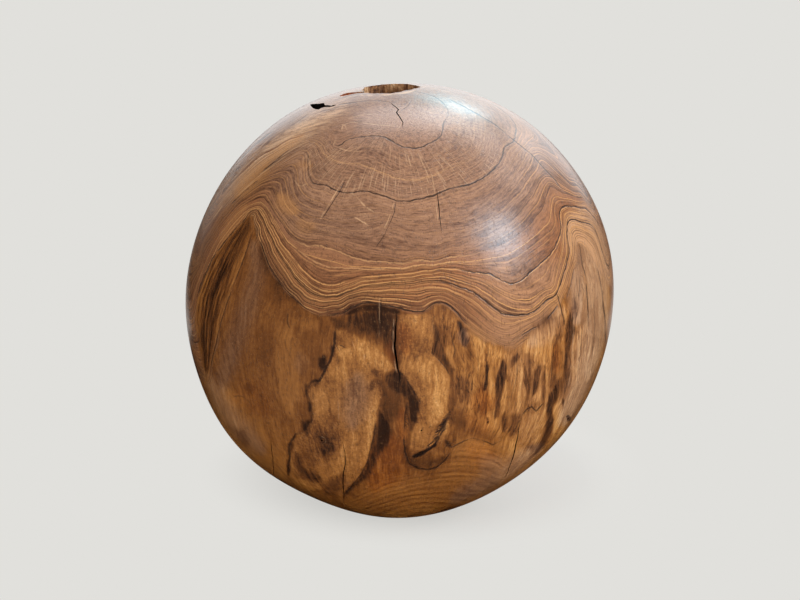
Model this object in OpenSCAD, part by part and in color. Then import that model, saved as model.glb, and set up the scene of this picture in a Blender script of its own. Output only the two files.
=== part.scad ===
// Ball shaped from one solid piece of root teak, for standing on a floor or a bench.
// It is a little oval, because the wood shrank unevenly as it dried. A hollow runs down from
// its top where the heart rotted away, with a crevice on its left and a ragged split beside it,
// and drying checks open in its skin.
// Lengths are in millimetres and angles in degrees. X is right, Y is back and Z is up, and the
// ball touches the floor at the origin.

/* [Ball] */
// Width of the ball across its short axes
ball_d = 400; // [320:1:480]
// How much longer the ball is along its long axis
oval_extra = 9; // [0:0.5:16]
// Lean of the long axis from upright, to the right
oval_lean = 28; // [0:1:60]

/* [Hollow] */
// Width of the hollow's mouth from left to right
hollow_w = 52; // [40:1:70]
// Width of the hollow's mouth from front to back
hollow_l = 46; // [36:1:64]
// Depth of the hollow below the top of the ball
hollow_deep = 96; // [60:1:130]
// Place of the mouth to the right of the ball's middle
hollow_x = -9; // [-20:0.5:20]
// Place of the mouth behind the ball's middle
hollow_y = -6; // [-20:0.5:20]
// Drift of the hollow to the back on its way down
hollow_drift = 9; // [0:0.5:16]
// Width of the hollow's floor as a part of its mouth
hollow_taper = 0.42; // [0.25:0.01:0.7]
// Unevenness of the hollow's wall as a part of its radius
hollow_rag = 0.1; // [0:0.01:0.16]

/* [Crevice] */
// Reach of the crevice to the left of the hollow's edge
crevice_l = 21; // [8:0.5:30]
// Width of the crevice where it leaves the hollow
crevice_w = 13; // [6:0.5:18]
// Depth of the crevice below the skin
crevice_deep = 14; // [6:0.5:30]

/* [Split] */
// Length of the split
split_l = 46; // [30:0.5:60]
// Greatest width of the split
split_w = 13; // [6:0.5:18]
// Depth of the split below the skin
split_deep = 42; // [20:1:60]
// Turn of the split's middle about the upright axis, from the right
split_turn = -161.7; // [-180:0.1:-140]
// Tip of the split's middle from the top of the ball
split_tip = 21.4; // [18:0.1:30]
// Swing of the split's run away from straight round the ball
split_swing = 21; // [0:1:40]

/* [Checks] */
// Width of the front check
front_check_w = 2.2; // [1:0.1:4]
// Length of the front check
front_check_l = 64; // [40:1:90]
// Width of the check above it
upper_check_w = 1.6; // [1:0.1:4]
// Length of the check above it
upper_check_l = 56; // [40:1:80]
// Width of the check by the heart
heart_check_w = 1.8; // [1:0.1:4]
// Length of the check by the heart
heart_check_l = 46; // [30:1:60]
// Width of the checks low on the ball
low_check_w = 1.6; // [1:0.1:4]
// Length of the checks low on the ball
low_check_l = 78; // [50:1:110]
// Depth of a check at its middle
check_deep = 12; // [8:0.5:24]

/* [Hidden] */
$fn = 88;
// Half widths across the short axes and along the long one
half_d = ball_d / 2;
half_long = half_d + oval_extra / 2;
lean_way = [sin(oval_lean), 0, cos(oval_lean)];
// Height of the ball's middle, and its step sideways from the point that touches the floor
middle_z = sqrt(pow(half_long * cos(oval_lean), 2) + pow(half_d * sin(oval_lean), 2));
middle_x = (half_long * half_long - half_d * half_d) * sin(oval_lean) * cos(oval_lean) / middle_z;
middle = [middle_x, 0, middle_z];
// Middle of the hollow's mouth in plan
mouth = [middle_x + hollow_x, hollow_y];
// How far the cutters stand clear above the skin
clear = 8;
// Steps round the hollow's wall and down it
wall_steps = 26;
depth_steps = 7;
// Each check's middle is a turn about the upright axis, from the right, and a tip from the top,
// and its run is turned from straight down the ball
front_check_at = [-91, 86.2, 3];
upper_check_at = [-77.5, 51.7, -1];
heart_check_at = [-90.8, 20.5, 17];
low_checks_at = [[-52.6, 121.6, 16], [-133.8, 125.7, -31], [-107.5, 126.4, -12]];

// Way out from the ball's middle at a turn and a tip
function way(turn, tip) = [sin(tip) * cos(turn), sin(tip) * sin(turn), cos(tip)];

// Distance of the oval skin from the middle along a way
function skin(w) =
    let (along = w * lean_way)
    1 / sqrt((1 - along * along) / (half_d * half_d) + along * along / (half_long * half_long));

// Unevenness of the hollow's wall at an angle round it and a part of its depth
function wall_wave(a, t) =
    0.5 * sin(3 * a + 40 + 50 * t) + 0.3 * sin(5 * a + 110 - 80 * t) + 0.2 * sin(8 * a + 20 + 30 * t);

// Width of the hollow at a part of its depth
function narrowing(t) = 1 - (1 - hollow_taper) * pow(t, 1.6);

// One level of the hollow's wall
function wall_level(t) =
    let (top = 2 * middle_z + clear)
    let (floor_z = 2 * middle_z - hollow_deep)
    [for (i = [0 : wall_steps - 1])
        let (a = 360 * i / wall_steps)
        let (r = narrowing(t) * (1 + hollow_rag * wall_wave(a, t)) / 2)
        [
            mouth.x + hollow_w * r * cos(a),
            mouth.y + hollow_l * r * sin(a) + hollow_drift * t,
            top + (floor_z - top) * t,
        ]
    ];

// Puts what follows on the skin, with its Z outward and its X straight down the ball
module on_skin(turn, tip) {
    translate(middle)
        rotate([0, tip, turn])
            translate([0, 0, skin(way(turn, tip))])
                children();
}

// The whole oval ball, before anything is missing from it
module oval_body() {
    translate(middle)
        rotate([0, oval_lean, 0])
            scale([1, 1, half_long / half_d])
                sphere(r = half_d);
}

// The rotted hollow, a ragged shaft that narrows on its way down
module hollow() {
    levels = [for (k = [0 : depth_steps]) wall_level(k / depth_steps)];
    last = depth_steps * wall_steps;
    wall = [
        for (k = [0 : depth_steps - 1])
            for (i = [0 : wall_steps - 1])
                let (j = (i + 1) % wall_steps)
                let (a = k * wall_steps)
                let (b = a + wall_steps)
                each [[a + i, a + j, b + j], [a + i, b + j, b + i]]
    ];
    top_cap = [for (i = [wall_steps - 1 : -1 : 0]) i];
    floor_cap = [for (i = [0 : wall_steps - 1]) last + i];
    polyhedron(points = [for (level = levels) each level], faces = concat([top_cap], wall, [floor_cap]));
}

// The crevice, a tapering notch in the hollow's left edge
module crevice() {
    root = hollow_w / 4;
    reach = hollow_w / 2 + crevice_l;
    sag = half_d - sqrt(half_d * half_d - reach * reach);
    translate([mouth.x, mouth.y, 2 * middle_z - sag - crevice_deep])
        linear_extrude(height = sag + crevice_deep + clear)
            polygon([
                [-root, -crevice_w / 2],
                [-root, crevice_w / 2],
                [-reach + crevice_l * 0.45, crevice_w * 0.3],
                [-reach, -crevice_w * 0.1],
                [-reach + crevice_l * 0.3, -crevice_w * 0.4],
            ]);
}

// The split, a ragged slot straight into the ball
module split() {
    on_skin(split_turn, split_tip)
        rotate([0, 0, split_swing])
            translate([0, 0, -split_deep])
                linear_extrude(height = split_deep + clear)
                    polygon([
                        [split_w * 0.05, -split_l * 0.58],
                        [split_w * 0.42, -split_l * 0.3],
                        [split_w * 0.5, 0],
                        [split_w * 0.34, split_l * 0.14],
                        [split_w * 0.06, split_l * 0.16],
                        [-split_w * 0.12, split_l * 0.42],
                        [-split_w * 0.22, split_l * 0.36],
                        [-split_w * 0.26, split_l * 0.12],
                        [-split_w * 0.5, -split_l * 0.06],
                        [-split_w * 0.3, -split_l * 0.3],
                    ]);
}

// One drying check, a cut that is widest and deepest at its middle and runs out at its ends
module check_cut(at, length, width) {
    sag = half_d - sqrt(half_d * half_d - length * length / 4);
    bite = check_deep - sag;
    r = (length * length / 4 + bite * bite) / (2 * bite);
    half_thick = width * r / check_deep / 2;
    on_skin(at[0], at[1])
        rotate([0, 0, at[2]])
            translate([0, 0, r - check_deep])
                rotate([90, 0, 0]) {
                    cylinder(h = half_thick, r1 = r, r2 = 0);
                    mirror([0, 0, 1])
                        cylinder(h = half_thick, r1 = r, r2 = 0);
                }
}

// All the drying checks
module checks() {
    check_cut(front_check_at, front_check_l, front_check_w);
    check_cut(upper_check_at, upper_check_l, upper_check_w);
    check_cut(heart_check_at, heart_check_l, heart_check_w);
    for (at = low_checks_at)
        check_cut(at, low_check_l, low_check_w);
}

// The finished ball
module ball() {
    color([0.45, 0.28, 0.17])
        difference() {
            oval_body();
            hollow();
            crevice();
            split();
            checks();
        }
}

ball();
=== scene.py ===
import math

import bmesh
import bpy
import numpy as np
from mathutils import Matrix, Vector, noise


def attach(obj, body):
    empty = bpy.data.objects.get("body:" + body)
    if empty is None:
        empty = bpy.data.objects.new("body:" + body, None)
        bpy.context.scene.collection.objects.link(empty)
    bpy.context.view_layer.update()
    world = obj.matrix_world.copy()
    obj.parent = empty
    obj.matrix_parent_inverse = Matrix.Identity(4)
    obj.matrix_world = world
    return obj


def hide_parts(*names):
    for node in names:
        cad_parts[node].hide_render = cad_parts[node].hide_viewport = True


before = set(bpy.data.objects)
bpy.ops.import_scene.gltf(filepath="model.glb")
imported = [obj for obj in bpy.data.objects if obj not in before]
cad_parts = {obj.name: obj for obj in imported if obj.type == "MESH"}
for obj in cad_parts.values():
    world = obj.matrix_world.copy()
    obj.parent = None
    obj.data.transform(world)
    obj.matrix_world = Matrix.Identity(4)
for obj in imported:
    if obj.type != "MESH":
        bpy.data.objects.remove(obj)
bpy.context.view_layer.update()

# The ball is shaped from one piece of root teak. Lengths are in metres, and "px" values are pixels
# of the 800 by 600 photograph, from its top left corner, used to place what shows on the front.

# the oval ball and the camera that the photograph was taken with

MM = 0.001
BALL_R = 0.200
LONG_R = 0.2045
LEAN = math.radians(28)
LONG_WAY = np.array([math.sin(LEAN), 0, math.cos(LEAN)])
MIDDLE_Z = math.hypot(LONG_R * math.cos(LEAN), BALL_R * math.sin(LEAN))
MIDDLE_X = (LONG_R**2 - BALL_R**2) * math.sin(LEAN) * math.cos(LEAN) / MIDDLE_Z
MIDDLE = np.array([MIDDLE_X, 0, MIDDLE_Z])
# takes a step from the middle to the same step on a ball of radius 1, and back
TO_ROUND = np.eye(3) / BALL_R + (1 / LONG_R - 1 / BALL_R) * np.outer(LONG_WAY, LONG_WAY)
TO_OVAL = np.eye(3) * BALL_R + (LONG_R - BALL_R) * np.outer(LONG_WAY, LONG_WAY)

PHOTO_W = 800
PHOTO_H = 600
BALL_PX = (399.06, 299.3)
BALL_R_PX = 213.3
MM_PER_PX = BALL_R / BALL_R_PX / MM
CAMERA_RISE = math.radians(15)
CAMERA_FAR = 2.0
SENSOR_MM = 36
FOCAL_PX = BALL_R_PX * math.sqrt(CAMERA_FAR**2 - BALL_R**2) / BALL_R
AHEAD = np.array([0, math.cos(CAMERA_RISE), -math.sin(CAMERA_RISE)])
ACROSS = np.array([1.0, 0, 0])
UPWARD = np.cross(ACROSS, AHEAD)
EYE = MIDDLE - CAMERA_FAR * AHEAD


def unit(v):
    return v / np.linalg.norm(v, axis=-1, keepdims=True)


def smooth(low, high, x):
    t = np.clip((x - low) / (high - low), 0, 1)
    return t * t * (3 - 2 * t)


def eased(x, stops):
    """A value that eases from stop to stop, each a place and the value there."""
    at, values = np.array(stops, float).T
    i = np.clip(np.searchsorted(at, x) - 1, 0, len(at) - 2)
    return values[i] + (values[i + 1] - values[i]) * smooth(at[i], at[i + 1], x)


def ways_of(px_points):
    """Ways from the ball's middle, on a ball of radius 1, to pixels of the photograph."""
    px = np.array(px_points, float)
    rays = AHEAD + np.outer((px[:, 0] - BALL_PX[0]) / FOCAL_PX, ACROSS)
    rays = rays + np.outer((BALL_PX[1] - px[:, 1]) / FOCAL_PX, UPWARD)
    start = TO_ROUND @ (EYE - MIDDLE)
    rays = rays @ TO_ROUND
    a = (rays * rays).sum(1)
    b = rays @ start
    far = (-b - np.sqrt(np.maximum(b * b - a * (start @ start - 1), 0))) / a
    return unit(start + rays * far[:, None])


def skin(ways):
    """Points of the oval skin along ways from its middle."""
    return MIDDLE + np.atleast_2d(ways) @ TO_OVAL


# where the outline swells or flattens: angle round the photograph's outline from the right, and millimetres
LUMPS = [(18, 1.3), (55, 1.0), (97, -1.0), (118, 1.5), (160, -0.9), (200, -1.3), (220, 1.7), (246, -1.9),
         (270, 2.3), (305, -1.1), (342, -1.2)]
LUMP_WIDTH = math.radians(13)


def swell(ways):
    """How far the hand-shaped skin stands off the true oval, as a share of the ball's radius."""
    lift = np.zeros(len(ways))
    lean = BALL_R / CAMERA_FAR
    for angle, height in LUMPS:
        a = math.radians(angle)
        way = (math.cos(a) * ACROSS + math.sin(a) * UPWARD) * math.sqrt(1 - lean**2) - AHEAD * lean
        apart = np.arccos(np.clip(ways @ way, -1, 1))
        lift += height * np.exp(-0.5 * (apart / LUMP_WIDTH) ** 2)
    # the ball still rests on its lowest point
    return lift * MM / BALL_R * smooth(-0.999, -0.96, ways[:, 2])


def in_photo(places):
    """Pixel columns and rows where places show in the photograph."""
    steps = places - EYE
    deep = steps @ AHEAD
    x = BALL_PX[0] + FOCAL_PX * (steps @ ACROSS) / deep
    y = BALL_PX[1] - FOCAL_PX * (steps @ UPWARD) / deep
    return x, y


# growth rings, drawn over the photograph: ring number, then the pixels that it passes through

HEART_PX = (398, 115)
RINGS_PX = [
    (0, [HEART_PX]),
    (5, [(222, 198), (245, 172), (275, 150), (300, 138), (317, 134), (331, 139), (337, 146), (345, 141.5),
         (357, 137.5), (370, 135.7), (383, 136.7), (392, 141), (400, 146), (411, 148.2), (422, 147),
         (429, 143), (437, 139), (442, 133), (443.5, 123)]),
    (8, [(215, 215), (240, 185), (270, 160), (296, 144.5), (312, 142), (321, 148), (328, 157), (340, 162),
         (357, 164), (374, 169), (387, 175), (402, 179), (420, 179), (436, 174), (453, 166), (470, 159),
         (480, 149), (484, 134)]),
    (11.5, [(199, 255), (212, 228), (230, 203), (255, 180), (282, 162), (298, 153), (305, 152), (308, 162),
            (308.5, 174), (313, 183), (327, 185.5), (340, 192), (352, 192.7), (364, 190.7), (376, 194),
            (387, 197), (397, 200.7), (410, 200.7), (424, 198), (437, 194), (450, 189), (464, 186),
            (477, 181.5), (487, 175), (497, 165), (502.5, 156), (504, 149), (513, 141)]),
    (16, [(195, 270), (203, 250), (217, 226), (236, 203), (258, 187), (273, 181), (280, 183), (283, 195),
          (290, 209), (308, 221), (336, 227), (357, 230), (383, 226), (404, 230), (437, 232), (470, 227),
          (500, 211), (522, 190), (536, 170), (541, 160), (556, 172), (572, 186), (586, 198)]),
    (20, [(190, 300), (196, 282), (207, 255), (222, 228), (240, 208), (256, 199.5), (264, 199), (270, 207),
          (279, 220), (290, 235), (302, 244), (318, 246), (336, 250), (357, 258.5), (371, 261.7),
          (403, 263.5), (437, 261), (463, 256), (487, 250), (504, 244), (521, 233), (536, 216), (546, 200),
          (552, 187), (560, 192), (572, 196), (584, 200), (594, 210)]),
    (23, [(262, 208), (270, 222), (280, 238), (290, 252), (300, 265), (310, 275), (319, 281), (328, 284),
          (338, 283), (347, 280.5), (361, 277), (377, 275.4), (400, 273), (420, 270), (440, 268),
          (455, 268.3), (472, 271.6), (489, 274), (500, 279.7), (513, 283.6), (520, 281), (530, 272),
          (541, 263), (550, 254), (557, 242), (561, 228), (560, 212), (573, 206.5), (585, 209), (596, 222),
          (605, 244)]),
    (24, [(197, 315), (201, 290), (209, 268), (219, 247), (231, 230), (243, 216), (253, 208.5)]),
    (27.5, [(247, 219), (236, 243), (226, 270), (217, 298), (209, 328), (203, 352)]),
    (26, [(259, 212), (266, 227), (275, 245), (285, 263), (296, 279), (306, 289), (317, 295), (329, 297),
          (341, 295), (354, 290), (366, 286.4), (381, 285.6), (400, 284.5), (420, 282), (436, 281),
          (447, 282.6), (460, 287), (473, 292), (483, 299), (491, 306), (500, 312), (513, 315), (530, 313),
          (540, 307), (547, 300), (557, 293), (561, 282), (565, 270), (569, 252), (567, 234), (568, 223),
          (581, 222.5), (594, 229), (606, 243)]),
    (28.5, [(256, 215), (262, 232), (270, 252), (280, 271), (291, 287), (302, 297), (310, 302),
            (319, 304.5), (332, 303), (347, 298), (359, 294.6), (374, 295.4), (400, 296), (425, 295),
            (440, 293), (453, 297), (466, 306), (480, 318), (495, 329), (510, 332), (530, 322), (546, 311),
            (556, 302), (564, 288), (570, 270), (574, 250), (574, 236), (585, 236), (596, 250), (604, 301),
            (606, 328), (607, 340)]),
    (31, [(207, 384), (213, 359), (221, 315), (228, 290), (236, 265), (243, 245), (249, 226), (252.5, 216),
          (256, 229), (261, 246), (269, 267), (281, 285), (295, 299), (308, 311), (322, 316), (333, 315),
          (346, 311.5), (358, 305), (366, 302.4), (375, 303), (384, 305.5), (397, 307.5), (410, 311),
          (423, 311), (433, 304), (443, 303), (452, 308), (462, 319), (475, 330), (490, 339.5),
          (505, 345.5), (512, 345), (530, 332), (545, 321), (555, 310), (564, 296), (573, 272), (578, 252),
          (582, 264), (586, 278), (587, 300), (588, 327)]),
    (34, [(240, 330), (232, 370), (262, 270), (280, 310), (300, 330), (332, 330), (360, 318), (385, 318),
          (410, 322), (440, 316), (470, 342), (505, 360), (545, 345), (570, 315), (575, 350)]),
    (37, [(235, 420), (270, 370), (320, 380), (390, 370), (450, 380), (505, 400), (550, 400), (590, 370)]),
    (40, [(270, 460), (330, 460), (400, 450), (470, 450), (530, 440)]),
    (43, [(330, 500), (400, 510), (470, 495)]),
]
LAST_RING = 31
# how softly the field of rings bends at a drawn point, on a ball of radius 1
RING_SOFT = 0.03
# narrowest and widest gap between rings, in millimetres
RING_GAPS = (1.5, 30)
# how many places are worked out at a time
AT_A_TIME = 8000
# on the far side: how far past the outline the rings start, and how far from the heart the last ring
# lies and the lobes are full
BACK_START = 0.12
LAST_RING_TIP = math.radians(72)
LOBES_FULL_TIP = math.radians(60)
HEART_WAY = ways_of([HEART_PX])[0]
HEART_SIDE = unit(np.array([1.0, 0, 0]) - HEART_WAY * HEART_WAY[0])
HEART_BACK = np.cross(HEART_WAY, HEART_SIDE)


def ring_guides():
    """Ways and ring numbers of the drawn rings, with lobed rings to match on the far side."""
    ways = [ways_of(points) for number, points in RINGS_PX]
    numbers = [np.full(len(points), float(number)) for number, points in RINGS_PX]
    for tip in np.radians(np.arange(15, 166, 15)):
        for turn in np.radians(np.arange(0, 360, 20)):
            out = math.cos(turn) * HEART_SIDE + math.sin(turn) * HEART_BACK
            way = HEART_WAY * math.cos(tip) + math.sin(tip) * out
            if way @ AHEAD < BACK_START:
                continue
            lobe = 1 + 0.16 * math.cos(3 * turn + 0.6) + 0.07 * math.cos(5 * turn + 2)
            ways.append(way[None])
            numbers.append([LAST_RING * tip / LAST_RING_TIP * lobe ** (tip / LOBES_FULL_TIP)])
    return np.concatenate(ways), np.concatenate(numbers)


def ring_field(ways):
    """Ring number at each way, and the gap between rings there in millimetres."""
    knots, numbers = ring_guides()
    reach = np.sqrt(((knots[:, None] - knots[None]) ** 2).sum(2) + RING_SOFT**2)
    edge = np.ones((len(knots), 1))
    sums = np.block([[reach, edge], [edge.T, np.zeros((1, 1))]])
    weights = np.linalg.solve(sums, np.append(numbers, 0))
    field = np.empty(len(ways))
    slope = np.empty(len(ways))
    for first in range(0, len(ways), AT_A_TIME):
        now = slice(first, first + AT_A_TIME)
        part = ways[now]
        steps = part[:, None] - knots[None]
        reach = np.sqrt((steps**2).sum(2) + RING_SOFT**2)
        field[now] = reach @ weights[:-1] + weights[-1]
        rise = (steps / reach[:, :, None] * weights[None, :-1, None]).sum(1)
        rise = rise - part * (rise * part).sum(1)[:, None]
        slope[now] = np.linalg.norm(rise, axis=1)
    return field, np.clip(BALL_R / MM / np.maximum(slope, 1e-6), *RING_GAPS)


# where the ring zone ends: pixel column and ring number, and pixel column and softness of the edge
RING_EDGE_PX = [(318, 31.1), (336, 31.4), (460, 31.4), (478, 31.2), (540, 31.2), (575, 30.5)]
SOFT_EDGE_PX = [(450, 0), (470, 1), (570, 1), (585, 0)]
BACK_RING_EDGE = 33

# pixel columns over which the wood between the rings turns warm
WARM_LEFT_PX = (300, 250)
WARM_RIGHT_PX = (520, 570)

# where light and dark rings part: strength, and the pixel columns and ring numbers over which it grows
LIVELY_PX = [(0.3, (345, 290), (4, 9)), (0.5, (285, 262), (1, 5)), (0.5, (500, 540), (8, 12)),
             (0.85, (540, 560), (10, 14))]
CALM_LEFT_PX = (268, 240)

# how boldly drawn rings show along their run: ring numbers from and to, then pixel column and boldness
BOLD_PX = [
    (-9, 7, [(333, 0), (341, 1), (442, 1), (452, 0)]),
    (7, 9.5, [(312, 0.1), (330, 0.85), (430, 0.85), (460, 0.1)]),
    (9.5, 14, [(298, 0), (308, 0.55), (309, 0.55), (318, 1)]),
    (18.5, 22.2, [(285, 0), (310, 1), (440, 1), (500, 0)]),
    (22.2, 24.5, [(440, 0.15), (475, 1)]),
    (24.5, 28, [(340, 0.6), (372, 0.3), (425, 0.3), (450, 1)]),
    (28, 99, [(322, 0.2), (340, 1), (455, 1), (475, 0.2)]),
]

# what lies below the rings and on them, drawn over the photograph

# the two patches of pale wood, and the streaky wood right of them
PALE_OUTLINES_PX = [
    [(336, 330), (345, 330), (356, 336), (368, 340), (378, 349), (387, 358), (395, 368), (388, 372),
     (378, 376), (383, 384), (382, 398), (378, 408), (376, 420), (373, 434), (371, 446), (368, 460),
     (362, 472), (356, 481), (349, 488), (342, 494), (330, 493), (312, 488), (300, 484), (291, 478),
     (290, 457), (296, 440), (303, 432), (311, 422), (313, 414), (311, 402), (307, 390), (312, 383),
     (320, 380), (325, 371), (331, 362), (334, 347)],
    [(398, 315), (416, 314), (433, 315), (434, 330), (433, 342), (432, 352), (439, 360), (445, 367),
     (449, 375), (449, 392), (448, 408), (450, 418), (448, 430), (444, 440), (436, 444), (426, 449),
     (417, 452), (411, 455), (410, 442), (412, 430), (418, 416), (421, 404), (416, 395), (410, 386),
     (404, 377), (399, 370), (398, 355), (398, 335)],
]
RIGHT_OUTLINE_PX = [(440, 312), (462, 322), (490, 343), (508, 349), (530, 335), (548, 322), (565, 300),
                    (590, 330), (606, 345), (600, 375), (585, 405), (565, 435), (545, 455), (520, 462),
                    (500, 440), (470, 425), (455, 405), (452, 370), (437, 352)]

# where the outer rings are fine and faint
QUIET_OUTLINE_PX = [(440, 288), (470, 298), (500, 318), (530, 318), (560, 298), (576, 255), (592, 330),
                    (530, 348), (490, 346), (462, 324), (440, 306)]

# the worn skin at the upper left, where long streaks take the place of rings; its paler colour is partly its
# own and partly painted sheen along the rim
WORN_SKIN_AND_SHEEN_OUTLINE_PX = [(186, 275), (200, 225), (225, 182), (255, 150), (290, 124), (318, 106), (346, 98),
                   (352, 110), (332, 124), (294, 148), (264, 170), (242, 194), (222, 226), (204, 262)]

# pixel rows and columns over which the worn skin and its painted sheen fade, and over which the low right
# side of the rings is paled with painted light
WORN_SKIN_AND_SHEEN_ROWS_PX = (225, 150)
WORN_SKIN_AND_SHEEN_TOP_PX = (312, 340)
PAINTED_LIGHT_COLUMNS_PX = (460, 505)
PAINTED_LIGHT_ROWS_PX = (245, 275)

# the paler skin beyond the fold at the right, partly its own colour and partly painted sheen
FADED_SKIN_AND_SHEEN_OUTLINE_PX = [(566, 214), (582, 206), (594, 212), (608, 240), (618, 285), (600, 292), (586, 270),
                    (572, 262), (562, 238)]

# the pale band down the right edge
BAND_OUTLINE_PX = [(578, 250), (588, 252), (600, 272), (613, 292), (620, 320), (612, 350), (598, 390),
                   (580, 420), (568, 400), (573, 370), (577, 335), (584, 312), (584, 285)]

# the dark ridge at the left, between two lines that meet at both ends
RIDGE_LEFT_PX = [(250, 214), (240, 224), (226, 240), (213, 258), (204, 278), (197, 298), (195, 322),
                 (198, 346), (204, 374), (206, 386)]
RIDGE_RIGHT_PX = [(250, 214), (253, 230), (247, 250), (237, 276), (228, 300), (221, 322), (215, 347),
                  (209, 372), (206, 386)]

# the smooth panel below the fold at the left
PANEL_OUTLINE_PX = [(253, 216), (262, 246), (282, 287), (300, 305), (318, 320), (330, 335), (328, 360),
                    (312, 378), (304, 392), (308, 412), (296, 434), (286, 450), (284, 500), (240, 460),
                    (205, 400), (214, 360), (222, 315), (236, 265)]

# dark shapes: outline in pixels, softness of the edge in pixels, strength
DARK_SHAPES_PX = [
    # the knot and the band beside the tongue
    ([(457, 321), (461, 322), (464, 327), (469, 329), (466, 333), (468, 340), (466, 348), (462, 346),
      (460, 336)], 2, 0.7),
    ([(434, 322), (438, 330), (443, 345), (447, 358), (453, 368), (455, 385), (455, 402), (453, 424),
      (449, 420), (450, 400), (450, 380), (445, 367), (439, 359), (432, 353), (434, 340)], 3, 0.5),
    ([(454, 378), (462, 375), (472, 380), (473, 392), (468, 402), (458, 404), (454, 392)], 6, 0.5),
    # slit and flames
    ([(486.5, 359), (488.5, 370), (488, 384), (485.5, 392), (483.5, 390), (485, 378)], 1.2, 0.9),
    ([(503, 358), (507, 368), (506, 379), (503, 391), (500, 405), (498, 417), (494.5, 421), (495, 405),
      (495.5, 388), (497, 375), (500, 366)], 1.3, 0.75),
    ([(512, 358), (518, 353), (520, 357), (514, 366), (510, 369)], 1.5, 0.5),
    ([(525, 354), (529, 352), (531, 364), (530, 380), (527, 394), (524, 384), (524, 366)], 2, 0.4),
    ([(534, 370), (541, 363), (542, 369), (539, 380), (536, 391), (532, 398), (533, 384)], 2, 0.55),
    ([(542, 374), (545, 366), (546, 378), (545.5, 394), (543, 405), (541, 394)], 1.5, 0.5),
    ([(502, 416), (505, 412), (507, 424), (505, 434), (502, 430)], 1.5, 0.6),
    ([(506, 420), (514, 415), (520, 416), (519, 432), (512, 436), (507, 432)], 4, 0.35),
    ([(486, 417), (489, 417), (489, 423), (486.5, 425)], 1, 0.6),
    ([(527, 446), (534, 440), (537, 447), (531, 453)], 3, 0.4),
    # the long flame at the right
    ([(570, 314), (574, 322), (576, 331), (572, 341), (571, 350), (571, 366), (570, 380), (566, 392),
      (563, 397), (563, 384), (564, 366), (565, 348), (566, 332), (568, 322)], 2.5, 0.6),
    ([(566, 348), (569, 352), (570, 366), (569, 380), (565, 390), (564, 378), (565, 362)], 1.5, 0.8),
    ([(561, 322), (562, 334), (562, 352), (560, 372), (557, 390), (551, 394), (548, 386), (552, 370),
      (554, 352), (557, 336)], 4, 0.4),
    ([(560, 376), (562, 384), (557, 396), (552, 408), (554, 420), (552, 434), (546, 445), (539, 453),
      (534, 457), (540, 443), (545, 430), (547, 416), (546, 404), (550, 392)], 2, 0.7),
    ([(556, 379), (562, 376), (564, 388), (561, 400), (555, 405), (553, 393)], 2.5, 0.6),
    ([(574, 297), (578, 304), (577, 317), (573, 328), (570, 320), (572, 306)], 2.5, 0.5),
    ([(562, 396), (564.5, 400), (564, 409), (562, 404)], 1, 0.6),
    ([(566.3, 416.5), (569, 415.4), (571, 417.5), (570.6, 421), (568, 422)], 0.8, 0.8),
    # beside and under the tongue
    ([(385, 377), (393, 371), (400, 371), (405, 377), (411, 387), (417, 396), (421, 403), (419, 413),
      (416, 424), (411, 429), (409, 415), (408, 401), (403, 396), (396, 393), (389, 388)], 4, 0.5),
    ([(398, 380), (405, 382), (409, 391), (404, 397), (398, 392)], 4, 0.7),
    ([(410.5, 457), (417, 453), (425, 450), (433, 445), (439, 440), (436, 446), (429, 450), (423, 455),
      (415, 458)], 1.4, 0.85),
    ([(440, 429), (441, 421), (447, 415), (452, 412), (448, 419), (444, 426)], 1.4, 0.6),
    ([(444, 440), (449, 441), (452, 447), (447, 447)], 1.5, 0.6),
    # the dark band right of the pale wood
    ([(379, 410), (385, 417), (390, 425), (392, 433), (389, 442), (383, 450), (378, 459), (374, 468),
      (368, 477), (358, 485), (350, 491), (343, 499), (344, 493), (352, 485), (360, 477), (366, 467),
      (370, 454), (372, 440), (375, 426)], 3, 0.5),
    ([(379, 418), (385, 424), (388, 433), (384, 443), (378, 450), (375, 440)], 7, 0.6),
    # blotches along the ragged left edge of the pale wood
    ([(319, 358), (325, 356), (327, 364), (324, 371), (319, 368)], 3, 0.55),
    ([(306, 383), (310, 386), (309, 396), (305, 396)], 2.5, 0.55),
    ([(303, 422), (311, 420), (310, 434), (304, 440), (302, 432)], 3.5, 0.5),
    ([(311, 381), (318, 378), (320, 384), (313, 387)], 2, 0.5),
    ([(308, 400), (312, 404), (312, 412), (308, 410)], 2, 0.5),
    ([(288, 444), (293, 440), (294, 448), (290, 452)], 2, 0.5),
    ([(287, 460), (291, 462), (290, 474), (287, 472)], 2, 0.5),
    ([(330, 345), (336, 347), (335, 356), (331, 356)], 2, 0.5),
    # stains in the pale wood
    ([(312, 438), (320, 429), (331, 429), (338, 438), (335, 451), (326, 459), (316, 457), (311, 447)],
      11, 0.65),
    ([(293, 452), (301, 456), (304, 468), (312, 472), (320, 478), (314, 484), (302, 480), (294, 470)],
      5, 0.55),
    ([(324, 486), (333, 478), (343, 476), (344, 488), (336, 495), (326, 494)], 5, 0.45),
    ([(371, 372), (375, 368), (380, 371), (377, 377)], 2, 0.5),
    ([(373, 381), (380, 378), (383, 384), (377, 389), (368, 391), (366, 386)], 2.5, 0.4),
    # under the last rings
    ([(346, 318), (360, 311), (378, 309), (397, 312), (397, 334), (394, 350), (386, 343), (374, 336),
      (360, 333), (350, 328)], 10, 0.5),
    ([(376, 316), (396, 314), (396, 332), (386, 332), (378, 328)], 9, 0.75),
    ([(330, 318), (342, 319), (348, 328), (338, 330)], 3, 0.35),
]

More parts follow.
